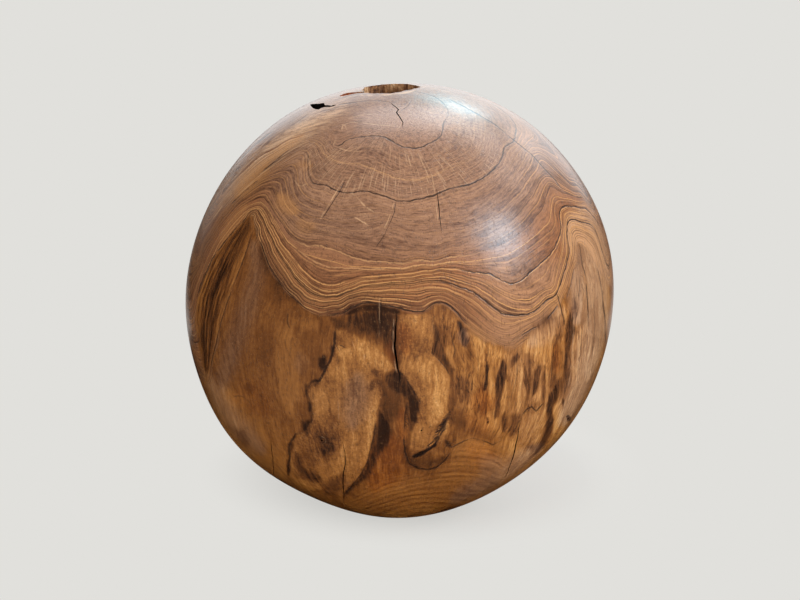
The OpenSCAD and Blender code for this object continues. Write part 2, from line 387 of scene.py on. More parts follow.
# soft dark stains: line of pixels, half width in pixels, strength
STAINS_PX = [
    ([(391, 335), (395, 350), (397, 366)], 6, 0.5),
    ([(400, 330), (402, 352)], 6, 0.35),
    ([(408, 328), (418, 340), (426, 350)], 10, 0.25),
    ([(346, 313), (362, 308), (380, 308), (398, 312)], 4, 0.8),
    ([(394, 384), (392, 402), (389, 420)], 8, 0.45),
    ([(378, 384), (386, 396), (386, 410)], 6, 0.4),
    ([(328, 418), (332, 440)], 14, 0.3),
    ([(305, 440), (312, 462)], 10, 0.3),
    ([(352, 384), (350, 412)], 10, 0.2),
    ([(338, 337), (346, 347)], 5, 0.45),
    ([(346, 330), (350, 345)], 6, 0.3),
    ([(352, 380), (353, 396)], 3, 0.3),
    ([(446, 330), (452, 352)], 9, 0.4),
    ([(470, 345), (474, 366)], 4, 0.3),
    ([(468, 354), (466, 376), (471, 398)], 14, 0.2),
    ([(456, 402), (460, 425)], 8, 0.3),
    ([(481, 390), (484, 412)], 9, 0.25),
    ([(508, 360), (512, 378), (509, 400)], 4, 0.25),
    ([(405, 448), (408, 460), (418, 467)], 4, 0.45),
    ([(414, 461), (430, 464), (444, 458)], 4, 0.35),
    ([(524, 206), (519, 213)], 7, 0.4),
    ([(322, 168), (316, 176)], 9, 0.4),
    ([(262, 244), (270, 264), (284, 284), (300, 300)], 7, 0.65),
    ([(268, 262), (276, 286), (280, 300)], 8, 0.3),
    ([(248, 384), (251, 392)], 4, 0.35),
    ([(262, 330), (266, 360)], 10, 0.2),
    ([(240, 432), (247, 444)], 5, 0.25),
]

# soft patches that are greyer, and soft patches that are more orange, given as the stains are
DUSK_PX = [
    ([(358, 378), (356, 400), (352, 424)], 14, 0.5),
    ([(463, 380), (462, 408)], 11, 0.15),
    ([(254, 244), (258, 270), (250, 300), (238, 335), (224, 375), (214, 402)], 11, 0.5),
    ([(300, 355), (302, 372)], 8, 0.3),
    ([(498, 462), (484, 474)], 14, 0.5),
    ([(538, 448), (516, 466), (490, 484), (455, 499)], 12, 0.6),
    ([(208, 376), (220, 404), (236, 424), (262, 450)], 11, 0.5),
    ([(463, 330), (465, 344)], 6, 0.6),
    ([(580, 246), (592, 270), (595, 330), (586, 380), (568, 420)], 19, 0.75),
    ([(579, 256), (577, 290), (578, 322)], 9, 0.9),
    ([(516, 352), (536, 392), (528, 440)], 26, 0.3),
    ([(560, 312), (546, 326), (532, 342)], 15, 0.55),
]
AMBER_PX = [
    ([(392, 440), (388, 464), (376, 484)], 18, 0.9),
    ([(402, 410), (402, 440)], 6, 0.8),
    ([(482, 392), (484, 412)], 11, 0.8),
    ([(470, 416), (486, 430)], 12, 0.5),
    ([(236, 398), (252, 396), (268, 410)], 16, 0.4),
    ([(390, 342), (394, 360)], 6, 0.8),
    ([(403, 326), (406, 352)], 9, 0.6),
    ([(470, 448), (492, 456)], 14, 0.5),
    ([(556, 345), (557, 372)], 5, 0.6),
]

# soft golden patches: line of pixels, half width in pixels, strength
GOLD_PX = [
    ([(412, 318), (420, 330), (428, 336)], 8, 0.3),
    ([(414, 366), (428, 368), (441, 382), (441, 402), (434, 420)], 10, 0.8),
    ([(418, 426), (422, 442)], 7, 0.5),
    ([(340, 352), (352, 348), (370, 354), (386, 364)], 10, 0.8),
    ([(332, 376), (345, 366)], 8, 0.5),
    ([(376, 386), (375, 412), (370, 440), (361, 466)], 5, 0.8),
    ([(338, 455), (340, 470)], 7, 0.5),
    ([(352, 440), (352, 470)], 8, 0.4),
    ([(320, 392), (324, 412)], 8, 0.4),
    ([(298, 482), (316, 488)], 5, 0.5),
    ([(286, 330), (292, 372), (290, 410)], 14, 0.4),
    ([(240, 420), (262, 440), (282, 470)], 20, 0.4),
    ([(220, 392), (230, 410), (240, 424)], 13, 0.8),
    ([(206, 376), (214, 392)], 7, 0.5),
    ([(504, 446), (518, 463), (503, 478)], 12, 0.7),
    ([(454, 450), (470, 445), (488, 449)], 8, 0.55),
    ([(294, 320), (312, 326)], 6, 0.4),
    ([(450, 347), (451, 356)], 4, 0.6),
    ([(478, 346), (480, 372)], 6, 0.5),
    ([(468, 326), (482, 342), (500, 354)], 7, 0.6),
    ([(478, 396), (490, 402)], 6, 0.2),
    ([(446, 424), (447, 434)], 3, 0.7),
    ([(435, 454), (438, 458)], 4, 0.5),
    ([(578, 228), (586, 244), (594, 266), (599, 292)], 13, 0.4),
    ([(607, 330), (600, 352), (588, 380)], 8, 0.9),
    ([(563, 284), (559, 300), (556, 314)], 8, 0.6),
    ([(238, 194), (250, 179), (266, 164)], 8, 0.9),
    ([(262, 164), (284, 148), (302, 136)], 4, 0.8),
    ([(246, 206), (232, 222), (221, 240)], 4, 0.5),
    ([(280, 196), (287, 206), (296, 212)], 7, 1.0),
    ([(298, 222), (306, 226), (314, 226)], 6, 0.6),
    ([(296, 165), (312, 166)], 4, 0.5),
]

# pale shapes among the flames: outline in pixels, softness of the edge in pixels, strength
LIGHT_SHAPES_PX = [
    ([(553, 412), (556, 403), (559, 396), (560.5, 390), (562, 400), (562, 412), (560, 424), (556, 434),
      (551, 443), (554, 430)], 1.2, 0.6),
    ([(545.5, 369), (547.5, 371), (549, 388), (548, 401), (544.5, 408), (545.5, 392)], 1.2, 0.9),
    ([(521, 361), (522.5, 372), (521.5, 390), (520, 406), (518, 413), (517.5, 398), (519.5, 380)],
      1.5, 0.8),
    ([(536, 392), (541, 384), (543, 392), (540, 400), (534, 405), (529, 403)], 2, 0.6),
    ([(535, 415), (545, 407), (547, 412), (545, 425), (540, 438), (535, 448), (532, 440), (533, 425)],
      2, 0.45),
    ([(509, 366), (517, 361), (518, 380), (514, 395), (508, 408), (502, 413), (504, 398), (507, 380)],
      2.5, 0.6),
    ([(578, 328), (575, 345), (573, 358), (572.5, 372), (571, 388), (568, 402), (563, 420), (556, 440),
      (548, 453), (576, 425), (598, 390), (612, 350), (613, 340), (596, 334)], 2.5, 0.5),
    ([(569, 266), (570, 244), (578, 237), (590, 246), (588, 285), (585, 312), (577, 330), (573, 312),
      (567, 296)], 3, 0.95),
    ([(584, 240), (596, 250), (608, 280), (616, 310), (612, 338), (600, 344), (584, 336), (584, 290)],
      3, 1.1),
    ([(520, 338), (548, 322), (558, 320), (556, 338), (552, 352), (545, 364), (536, 360), (524, 350)],
      6, 0.45),
    ([(520, 420), (530, 407), (534, 416), (532, 436), (526, 446), (520, 438)], 2.5, 0.3),
    ([(470, 374), (476, 372), (478, 386), (473, 394), (470, 386)], 2, 0.4),
]

# thin dark lines: line of pixels, half width in pixels, strength
INK_PX = [
    ([(335, 326), (335, 333), (334, 346), (331, 358), (326, 368), (322, 376), (319, 381), (314, 380),
      (308, 385), (306, 392), (310, 401), (312, 411), (312, 420), (308, 427)], 1.3, 0.9),
    ([(303, 432), (296, 434), (291, 441), (288, 447), (290, 456), (288, 466), (288, 479)], 1.2, 0.85),
    ([(376, 420), (374, 434), (371, 447), (368, 461), (362, 473), (356, 481), (349, 489), (342, 496)],
      0.9, 0.7),
    ([(398, 371), (404, 376), (410, 386), (416, 395), (421, 404)], 0.8, 0.6),
    ([(408, 398), (408, 412), (409, 428)], 0.7, 0.6),
    ([(407, 400), (405, 415), (404, 438), (405, 452), (409, 463), (418, 468), (428, 470), (437, 467),
      (445, 460), (452, 451)], 0.8, 0.85),
    ([(432, 320), (434, 330), (433, 345), (432, 353), (439, 360), (446, 368), (450, 376)], 0.7, 0.6),
    ([(411, 457), (424, 453), (433, 447), (439, 438), (445, 425), (452, 412)], 0.7, 0.9),
    ([(443, 418), (448, 414), (453, 409)], 0.7, 1.0),
    ([(437, 427), (443, 423), (450, 416)], 0.7, 1.0),
    ([(435, 433), (441, 429), (447, 423)], 0.7, 1.0),
    ([(433, 440), (439, 435), (446, 428)], 0.7, 1.0),
    ([(427, 446), (434, 441), (440, 436)], 0.7, 1.0),
    ([(442, 452), (446, 446), (449, 442)], 0.5, 0.7),
    ([(451, 448), (460, 443), (471, 438), (482, 440), (493, 445), (503, 440)], 0.7, 0.7),
    ([(518, 424), (520, 420), (523, 414), (527, 409), (532, 406.5), (536, 411.5), (539, 408), (544, 402.5)],
      0.7, 0.8),
    ([(566, 417), (568, 415.6), (570.6, 417), (571.2, 419.6), (569, 422)], 0.6, 0.9),
    ([(574, 268), (571, 285), (566, 300)], 0.5, 0.5),
    ([(580, 275), (579, 300), (576, 318)], 0.5, 0.5),
    ([(518, 362), (517, 376), (513, 392), (508, 408)], 0.5, 0.5),
    ([(554, 344), (552, 362), (552, 376)], 0.5, 0.6),
    ([(479, 404), (478.5, 412)], 0.7, 0.7),
    ([(488, 348), (489, 356)], 0.6, 0.4),
    ([(470, 335), (474, 345), (478, 352), (478, 372)], 0.5, 0.4),
    ([(455, 331), (452, 340), (455, 350), (453, 358)], 0.6, 0.6),
    ([(472, 380), (472, 390)], 0.7, 0.7),
    ([(507, 344), (519, 337), (530, 330), (538, 326)], 0.7, 0.75),
    ([(547, 319), (553, 312), (558, 305)], 0.8, 0.8),
    ([(514, 349), (519, 344), (528, 338)], 0.6, 0.5),
    ([(586, 282), (587.5, 300), (588.5, 327)], 0.6, 0.8),
    ([(580, 247), (582, 264), (586, 278)], 0.6, 0.6),
    ([(603, 300), (605.5, 320), (606.5, 345)], 0.7, 0.85),
    ([(597, 268), (602, 290), (604, 315)], 0.6, 0.6),
    ([(594, 300), (595, 330), (592, 360)], 0.5, 0.4),
    ([(600, 335), (598, 360), (590, 385)], 0.5, 0.4),
    ([(582, 330), (581, 352), (578, 372)], 0.5, 0.4),
    ([(296, 124), (308, 115)], 0.5, 0.5),
    ([(322, 112), (335, 108), (348, 106)], 0.5, 0.5),
    ([(557, 293), (561, 308), (565, 326)], 0.6, 0.8),
    ([(381, 297), (381.5, 315), (381, 338)], 0.5, 0.6),
    ([(345, 180), (340, 191), (331, 205), (322, 219)], 0.45, 0.75),
    ([(396, 201), (394, 213), (389, 225), (382, 239), (375, 248)], 0.45, 0.7),
    ([(336, 105), (346, 103.6), (361, 101.6), (377, 100.2), (389, 102)], 0.4, 0.7),
    ([(400, 111.5), (407, 107), (411, 101), (410, 95)], 0.4, 0.6),
    ([(444, 97), (459, 104), (477, 114), (494, 124), (513, 140), (532, 155), (544, 169), (553, 178),
      (563, 191)], 0.55, 0.85),
    (RIDGE_RIGHT_PX[1:-1], 0.6, 0.6),
    ([(248, 216), (238, 226), (225, 241), (212, 259), (203, 279), (196, 299)], 0.7, 0.85),
    ([(240, 160), (250, 150), (262, 140), (274, 131)], 0.7, 1.0),
    ([(252, 145), (264, 135), (276, 126)], 0.6, 0.9),
    ([(228, 178), (234, 171), (240, 167)], 0.9, 0.7),
    ([(212, 205), (224, 188), (238, 172)], 0.5, 0.5),
    ([(262, 172), (276, 160), (292, 148), (302, 143)], 0.6, 0.8),
    ([(230, 205), (246, 190), (258, 180)], 0.6, 0.6),
    ([(256, 222), (262, 246), (270, 268), (282, 286), (296, 300), (309, 311)], 0.7, 0.7),
    ([(335, 310), (350, 309), (362, 304)], 0.7, 0.6),
    ([(340, 345), (346, 348)], 0.7, 0.7),
    ([(233, 396), (243, 396), (251, 404)], 0.7, 0.35),
    ([(288, 313), (287, 322), (290, 329)], 0.8, 0.6),
]

# thin pale lines, worn edges and scratches, and a painted highlight along the hollow's front lip: line of
# pixels, half width in pixels, strength
PALE_LINES_PX = [
    ([(393.8, 318), (393.4, 330), (392.8, 347), (394.4, 360), (396.6, 373)], 0.55, 0.8),
    ([(379.3, 297), (379.6, 315), (379, 337)], 0.5, 0.35),
    ([(432, 173), (434.6, 192), (437, 213), (438.5, 230)], 0.5, 0.6),
    ([(395, 112.5), (397.6, 117), (400.5, 122.5), (400, 127)], 0.55, 0.95),
    ([(345, 122), (339, 134), (333, 145)], 0.8, 0.8),
    ([(338, 147.5), (347, 150.6), (361, 151.6)], 0.7, 0.7),
    ([(344, 178), (337, 191), (328, 206), (320, 219)], 0.7, 0.8),
    ([(394, 203), (391, 213), (386, 225), (378, 240)], 0.7, 0.7),
    ([(352, 193), (366, 207), (380, 216)], 0.8, 1.0),
    ([(355, 217), (368, 225)], 0.7, 0.9),
    ([(307, 156), (313, 170), (322, 172)], 0.7, 0.45),
    ([(309, 183), (299, 187), (294, 180)], 0.7, 0.4),
    ([(320, 101), (340, 98), (358, 95)], 0.5, 0.4),
    # painted highlight where the hollow's rounded front lip catches the light
    ([(359, 94.6), (370, 94.9), (384, 94.6), (398, 93.4), (409, 91.4), (416, 89.6)], 0.9, 1.0),
    ([(342, 120.5), (361, 115), (389, 113.6)], 0.5, 0.5),
    ([(341, 125), (352, 122), (381, 125), (398, 126.4)], 0.5, 0.4),
    ([(225, 187), (250, 162), (280, 142), (305, 130)], 0.7, 0.5),
    ([(237, 196), (262, 173), (290, 153)], 0.7, 0.5),
    ([(213, 218), (232, 192)], 0.6, 0.5),
    ([(588, 255), (591, 275), (592, 300), (594, 325)], 0.8, 0.5),
    ([(601, 285), (607, 310), (608, 335)], 0.7, 0.5),
    ([(319, 438), (322, 436.6), (325, 438.5), (325.5, 442), (322.5, 444.5), (319.5, 443), (319, 440)],
      0.5, 0.6),
    ([(364, 347), (364.5, 360)], 0.5, 0.6),
    ([(352, 340), (356, 352)], 0.4, 0.4),
    ([(346, 372), (347, 392)], 0.4, 0.35),
    ([(338, 400), (339, 420)], 0.4, 0.3),
    ([(292, 128), (305, 117), (322, 110)], 0.6, 0.5),
    ([(300, 131), (315, 121), (335, 114)], 0.6, 0.4),
    ([(574, 312), (573, 342), (571, 372), (566, 400), (558, 432)], 0.7, 0.5),
]

# arched lines at the foot: their crown, and how fast they fall away to both sides
ARCH_HIGH_PX = (476, 436)
ARCH_HIGH_FALL = 0.010
ARCH_LOW_PX = (450, 482)
ARCH_LOW_FALL = 0.0034
ARCH_GAP_PX = 5.2
ARCH_OUTLINE_PX = [(405, 472), (430, 474), (448, 458), (456, 446), (476, 436), (500, 444), (512, 470),
                   (500, 486), (470, 506), (430, 517), (390, 520), (355, 512), (345, 500), (360, 488),
                   (380, 480)]

# drying checks: line of pixels and width at the middle in millimetres, and the depth of them all
CHECK_DEEP = 12
CHECKS_PX = [
    ([(396, 311), (396.5, 320), (395.5, 329), (395.5, 338), (394.5, 346), (395.5, 353), (396.5, 360),
      (397.5, 367), (399.5, 375), (400, 384)], 2.0),
    ([(436.5, 188), (437.5, 196), (439, 208), (440, 220), (442, 234)], 0.9),
    ([(389, 101.5), (394, 105.5), (398.5, 109.5), (396.5, 112.5), (400, 117.5), (403, 122.5), (402, 128)],
      1.4),
    ([(519.5, 421), (518.5, 432), (516, 444), (513.5, 456), (509.5, 467), (505, 479)], 1.6),
    ([(271, 438), (271.5, 448), (273, 458), (273.5, 468), (275.5, 479)], 0.9),
    ([(342.5, 441), (345, 453), (345.5, 463), (343.5, 473), (343, 484), (344, 495), (344.5, 507)],
      1.0),
]
# worm holes: middle in pixels, width and depth in millimetres
WORM_HOLES_PX = [((322, 440.5), 2.1, 9), ((568.5, 419), 3.2, 7), ((488, 422), 1.6, 6),
                 ((421.5, 430.5), 1.6, 6)]

# the inside of the hollow: pixel column and share of its wall and of its splinters, and fades; away from the
# wall the torn wood takes painted shade
HOLLOW_WALL_PX = [(332, 0), (336, 1), (419, 1), (422, 0)]
HOLLOW_ROWS_PX = (102, 99)
SPLINTERS_PX = [(352, 0), (359, 1), (369, 1), (377, 0)]
REDDISH_PX = (359, 352)


def front_share(ways):
    """How fully each way faces the camera, from 0 at the outline to 1."""
    return smooth(0.02, 0.25, ways @ unit(EYE - MIDDLE) - BALL_R / CAMERA_FAR)


def from_line(x, y, points):
    """Distance in pixels from a drawn line, side of it and share of the way along it, at each place."""
    points = np.array(points, float)
    lengths = np.linalg.norm(np.diff(points, axis=0), axis=1)
    before = np.append(0, np.cumsum(lengths))
    best = np.full(len(x), 1e9)
    side = np.ones(len(x))
    along = np.zeros(len(x))
    for start, end, length, done in zip(points, points[1:], lengths, before):
        run = (end - start) / length
        dx, dy = x - start[0], y - start[1]
        t = np.clip(dx * run[0] + dy * run[1], 0, length)
        away = np.hypot(dx - t * run[0], dy - t * run[1])
        near = away < best
        best[near] = away[near]
        side[near] = np.sign(dx * run[1] - dy * run[0])[near]
        along[near] = ((done + t) / before[-1])[near]
    return best, side, along


def inside(x, y, outline):
    """Distance in pixels from each place to a drawn outline, positive inside it."""
    closed = list(outline) + [outline[0]]
    away = from_line(x, y, closed)[0]
    enclosed = np.zeros(len(x), bool)
    for (x0, y0), (x1, y1) in zip(closed, closed[1:]):
        crosses = ((y0 > y) != (y1 > y)) & (x < (x1 - x0) * (y - y0) / (y1 - y0 + 1e-12) + x0)
        enclosed ^= crosses
    return np.where(enclosed, away, -away)


def within(x, y, outline, outer, inner):
    """0 from outer pixels outside a drawn outline, growing to 1 at inner pixels inside it."""
    return smooth(-outer, inner, inside(x, y, outline))


def clouds(places, scale, seed):
    """Soft blotches from -1 to 1 at places, a few across the ball."""
    shift = Vector((seed * 7.3, seed * 3.1, seed * 5.7))
    return np.array([noise.noise(Vector(p) * scale + shift) for p in places])


# the ball's mesh

FINE_ZONE_PX = (285, 612, 298, 520)


def mesh_of(bm, name):
    mesh = bpy.data.meshes.new(name)
    bm.to_mesh(mesh)
    bm.free()
    return mesh


def placed(name, data):
    """A new object that holds a mesh, a lamp or a camera."""
    piece = bpy.data.objects.new(name, data)
    bpy.context.scene.collection.objects.link(piece)
    return piece


def cut_in_triangles(bm):
    bmesh.ops.triangulate(bm, faces=[face for face in bm.faces if len(face.verts) > 3])


def oval_ball():
    """The whole ball, with smaller faces where the photograph shows most detail."""
    bm = bmesh.new()
    bmesh.ops.create_icosphere(bm, subdivisions=7, radius=1)
    ways = np.array([v.co for v in bm.verts])
    x, y = in_photo(skin(ways))
    low_x, high_x, low_y, high_y = FINE_ZONE_PX
    fine = (front_share(ways) > 0.3) & (x > low_x) & (x < high_x) & (y > low_y) & (y < high_y)
    edges = [e for e in bm.edges if fine[e.verts[0].index] and fine[e.verts[1].index]]
    bmesh.ops.subdivide_edges(bm, edges=edges, cuts=1, use_grid_fill=True)
    cut_in_triangles(bm)
    ways = unit(np.array([v.co for v in bm.verts]))
    for v, place in zip(bm.verts, skin(ways * (1 + swell(ways))[:, None])):
        v.co = place
    return bm


def swept(bm, sections):
    """A closed solid pulled through sections, each a list of as many points."""
    circle = bmesh.ops.create_circle(bm, cap_ends=True, segments=len(sections[0]), radius=1)
    face = circle["verts"][0].link_faces[0]
    for vert, point in zip(face.verts, sections[0]):
        vert.co = point
    for count, section in enumerate(sections[1:]):
        pulled = bmesh.ops.extrude_face_region(bm, geom=[face])["geom"]
        if count:
            bmesh.ops.delete(bm, geom=[face], context="FACES_ONLY")
        face = next(part for part in pulled if isinstance(part, bmesh.types.BMFace))
        for vert, point in zip(face.verts, section):
            vert.co = point


def axes_at(way, run=None):
    """Outward way, run and side at a place on the skin."""
    out = unit(way @ TO_ROUND)
    run = np.array([0.0, 0, -1]) if run is None else run
    run = unit(run - out * (run @ out))
    return out, run, np.cross(out, run)


def check_cutter(bm, points_px, width):
    """A wandering wedge along a drying check, widest and deepest at its middle."""
    ways = ways_of(points_px)
    places = skin(ways)
    sections = []
    for i, (way, place) in enumerate(zip(ways, places)):
        run = places[min(i + 1, len(places) - 1)] - places[max(i - 1, 0)]
        out, _, side = axes_at(way, run)
        part = i / (len(places) - 1)
        open_share = max(math.sin(math.pi * part) ** 0.6, 0.06)
        half = side * width * MM * open_share / 2
        root = place - out * CHECK_DEEP * MM * max(open_share, 0.15)
        lift = out * 4 * MM
        sections.append([place + half * 1.15 + lift, place - half * 1.15 + lift, root])
    swept(bm, sections)


def worm_hole_cutter(bm, at_px, width, depth):
    way = ways_of([at_px])[0]
    out, run, side = axes_at(way)
    place = skin(way)[0]
    turns = np.radians(np.arange(0, 360, 36))
    ring = [math.cos(a) * run + math.sin(a) * side for a in turns]
    sections = []
    for rise, wide in ((4, 1.0), (-0.6 * depth, 0.9), (-depth, 0.4)):
        sections.append([place + out * rise * MM + r * width * MM / 2 * wide for r in ring])
    swept(bm, sections)


HOLLOW_W = 0.052
HOLLOW_L = 0.046
HOLLOW_DEEP = 0.096
HOLLOW_AT = (MIDDLE_X - 0.009, -0.006)
HOLLOW_DRIFT = 0.009
HOLLOW_TAPER = 0.42
HOLLOW_RAG = 0.1
HOLLOW_FLUTE = 0.07
HOLLOW_FIBRE = 0.035
HOLLOW_UNEVEN = 0.0025
HOLLOW_STEPS = 120
HOLLOW_LEVELS = 34


def hollow_cutter(bm):
    """The rotted hollow, with fluted, fibrous walls."""
    top = 2 * MIDDLE_Z + 0.008
    floor_z = 2 * MIDDLE_Z - HOLLOW_DEEP
    sections = []
    for level in range(HOLLOW_LEVELS + 1):
        t = level / HOLLOW_LEVELS
        z = top + (floor_z - top) * t
        section = []
        for step in range(HOLLOW_STEPS):
            a = 2 * math.pi * step / HOLLOW_STEPS
            wave = 0.5 * math.sin(3 * a + 0.7 + 0.87 * t) + 0.3 * math.sin(5 * a + 1.92 - 1.4 * t)
            wave += 0.2 * math.sin(8 * a + 0.35 + 0.52 * t)
            flute = noise.noise(Vector((9 * math.cos(a), 9 * math.sin(a), 5 * t)))
            fibre = noise.noise(Vector((26 * math.cos(a), 26 * math.sin(a), 14 * t + 3)))
            ragged = 1 + HOLLOW_RAG * wave + HOLLOW_FLUTE * flute + HOLLOW_FIBRE * fibre
            r = (1 - (1 - HOLLOW_TAPER) * t**1.6) * ragged / 2
            bumps = noise.noise(Vector((4 * math.cos(a), 4 * math.sin(a), 8 * t)))
            drop = HOLLOW_UNEVEN * bumps * min(t * 4, 1)
            section.append((HOLLOW_AT[0] + HOLLOW_W * r * math.cos(a),
                            HOLLOW_AT[1] + HOLLOW_L * r * math.sin(a) + HOLLOW_DRIFT * t, z + drop))
        sections.append(section)
    swept(bm, sections)


# the crevice left of the hollow, along its run: pixel of its middle line, width and depth in millimetres
CREVICE_PX = [((340, 96.2), 4, 2), ((344, 95), 10, 4), ((349, 93.8), 11, 6), ((354, 93), 6, 7),
              ((360, 92.2), 5, 10), ((368, 91.4), 8, 14)]


def crevice_cutter(bm):
    """The crevice, a torn trough that deepens into the hollow."""
    sections = []
    for i, (at_px, wide, deep) in enumerate(CREVICE_PX):
        way = ways_of([at_px])[0]
        out, _, side = axes_at(way, np.array([1.0, 0, 0]))
        place = skin(way)[0]
        jog = 0.35 * (-1) ** i
        across = [(-0.55, 4), (0.55, 4), (0.5, -0.35 * deep), (0.16 + 0.3 * jog, -deep), (-0.3, -0.7 * deep)]
        sections.append([place + side * s * wide * MM + out * rise * MM for s, rise in across])
    swept(bm, sections)


# the black split: outline in pixels
SPLIT_PX = [(310.3, 105.4), (314, 104.7), (318, 104.4), (321, 103.9), (324.2, 103.5), (325, 105.6),
            (328, 105.4), (331.3, 105.9), (334, 105.1), (336.8, 104.8), (333, 106.6), (329, 107.2),
            (325, 107.4), (321, 108.6), (318.8, 109.9), (316, 109.4), (313.4, 109), (312, 107.6)]
# height of each layer over the skin in metres, and how wide the split is there
SPLIT_LAYERS = [(0.006, 1.02), (0, 1), (-0.008, 0.93), (-0.02, 0.8), (-0.034, 0.6), (-0.042, 0.3)]


def split_cutter(bm):
    """The split, a ragged slot that closes as it goes in."""
    ways = ways_of(SPLIT_PX)
    places = skin(ways)
    heart = places.mean(0)
    out = axes_at(unit(heart - MIDDLE))[0]
    sections = []
    for rise, narrow in SPLIT_LAYERS:
        ragged = [1 + 0.12 * noise.noise(Vector((i * 1.7, rise * 90, 4))) for i in range(len(places))]
        sections.append([heart + (p - heart) * narrow * k + out * rise for p, k in zip(places, ragged)])
    swept(bm, sections)


def cut_away(ball, name, fill):
    """Takes the cutters that fill makes out of the ball."""
    bm = bmesh.new()
    fill(bm)
    bmesh.ops.triangulate(bm, faces=bm.faces[:])
    bmesh.ops.recalc_face_normals(bm, faces=bm.faces[:])
    mesh = mesh_of(bm, name)
    cutter = placed(name, mesh)
    cut = ball.modifiers.new(name, "BOOLEAN")
    cut.operation = "DIFFERENCE"
    cut.solver = "MANIFOLD"
    cut.object = cutter
    bpy.context.view_layer.update()
    shaped = bpy.data.meshes.new_from_object(ball.evaluated_get(bpy.context.evaluated_depsgraph_get()))
    ball.modifiers.remove(cut)
    whole = ball.data
    ball.data = shaped
    bpy.data.meshes.remove(whole)
    bpy.data.objects.remove(cutter)
    bpy.data.meshes.remove(mesh)


def small_cuts(bm):
    for check in CHECKS_PX:
        check_cutter(bm, *check)
    for hole in WORM_HOLES_PX:
        worm_hole_cutter(bm, *hole)


def make_ball():
    ball = placed("root_teak_ball", mesh_of(oval_ball(), "ball"))
    for name, fill in (("hollow", hollow_cutter), ("crevice", crevice_cutter), ("split", split_cutter),
                       ("small_cuts", small_cuts)):
        cut_away(ball, name, fill)
    bm = bmesh.new()
    bm.from_mesh(ball.data)
    bmesh.ops.remove_doubles(bm, verts=bm.verts[:], dist=1e-6)
    cut_in_triangles(bm)
    bm.to_mesh(ball.data)
    bm.free()
    return ball


def soft_strokes(x, y, strokes):
    """How strongly soft strokes show: full along their middle line, fading past their half width."""
    shown = np.zeros(len(x))
    for points, half, strength in strokes:
        away, _, along = from_line(x, y, points)
        half = half * (0.45 + 0.55 * np.sin(np.pi * along) ** 0.5)
        shown = np.maximum(shown, strength * (1 - smooth(0, 1, (away / half - 0.1) / 1.9)))
    return shown


def shapes(x, y, outlines):
    """How far inside drawn shapes each place lies, in softnesses of their edges, and their strength."""
    rooms = np.array([inside(x, y, outline) / soft for outline, soft, strength in outlines])
    strengths = np.array([strength for outline, soft, strength in outlines])
    return np.clip(rooms.max(0), -6, 6), strengths[rooms.argmax(0)]


def thin_strokes(x, y, strokes):
    """Distance to the nearest thin stroke, in half widths and signed by side, and how boldly it shows."""
    nearest = np.full(len(x), 1e9)
    away_from = np.full(len(x), 40.0)
    boldness = np.zeros(len(x))
    for points, half, strength in strokes:
        away, side, along = from_line(x, y, points)
        near = away < nearest
        nearest[near] = away[near]
        away_from[near] = (away * side / half)[near]
        ends = smooth(0, 0.07, along) * smooth(1, 0.93, along)
        boldness[near] = (strength * ends * (1 - smooth(4, 8, away)))[near]
    return away_from, boldness


def keep(mesh, name, values):
    mesh.attributes.new(name, "FLOAT", "POINT").data.foreach_set("value", values.astype(np.float32))


def draw_rings(mesh, ways, x, y, front):
    """Stores the growth rings and how they change over the ball."""
    back = 1 - front
    rings, gap = ring_field(ways)
    keep(mesh, "rings", rings)
    keep(mesh, "ring_gap", gap)

    # how far inside the edge of the ring zone, in millimetres
    edge = np.interp(x, *zip(*RING_EDGE_PX)) * front + BACK_RING_EDGE * back
    soft_edge = np.maximum(eased(x, SOFT_EDGE_PX) * front, back)
    room = (edge - rings) * gap * (1 - 0.7 * soft_edge)
    out_of_band = -inside(x, y, BAND_OUTLINE_PX) * MM_PER_PX
    room = np.where(front > 0.5, np.minimum(room, out_of_band), room)
    keep(mesh, "ring_room", np.clip(room, -40, 40))

    # how warm the wood between the rings is
    warm = np.maximum(smooth(15, 25, rings), 0.9 * smooth(*WARM_LEFT_PX, x))
    warm = np.maximum(warm, 0.6 * smooth(*WARM_RIGHT_PX, x))
    keep(mesh, "warm", warm * front + smooth(12, 24, rings) * back)

    # where the skin is worn paler, with painted sheen along the upper rims and painted light on the low
    # right side
    wear_and_painted_light = within(x, y, WORN_SKIN_AND_SHEEN_OUTLINE_PX, 5, 9) * smooth(*WORN_SKIN_AND_SHEEN_ROWS_PX, y)
    wear_and_painted_light = wear_and_painted_light * (1 - 0.45 * smooth(*WORN_SKIN_AND_SHEEN_TOP_PX, x))
    wear_and_painted_light = np.maximum(wear_and_painted_light, 0.5 * within(x, y, FADED_SKIN_AND_SHEEN_OUTLINE_PX, 6, 8))
    wear_and_painted_light = np.maximum(wear_and_painted_light, 0.22 * smooth(*PAINTED_LIGHT_COLUMNS_PX, x) * smooth(*PAINTED_LIGHT_ROWS_PX, y))
    keep(mesh, "wear_and_painted_light", wear_and_painted_light * front)

    # how strongly light and dark rings part
    lively = smooth(18.5, 22.5, rings)
    for strength, columns, numbers in LIVELY_PX:
        lively = np.maximum(lively, strength * smooth(*columns, x) * smooth(*numbers, rings))
    lively = lively * (1 - 0.25 * smooth(*CALM_LEFT_PX, x))
    lively = lively * (1 - 0.75 * within(x, y, QUIET_OUTLINE_PX, 4, 8))
    lively = lively * (1 - 0.7 * within(x, y, WORN_SKIN_AND_SHEEN_OUTLINE_PX, 5, 7))
    keep(mesh, "lively", lively * front + 0.55 * smooth(3, 10, rings) * back)

    # how boldly each drawn ring shows along its run
    bold = np.full(len(x), 0.5)
    for first, last, stops in BOLD_PX:
        bold = np.where((rings >= first) & (rings < last), eased(x, stops), bold)
    keep(mesh, "bold", bold * front + 0.5 * back)
    return rings


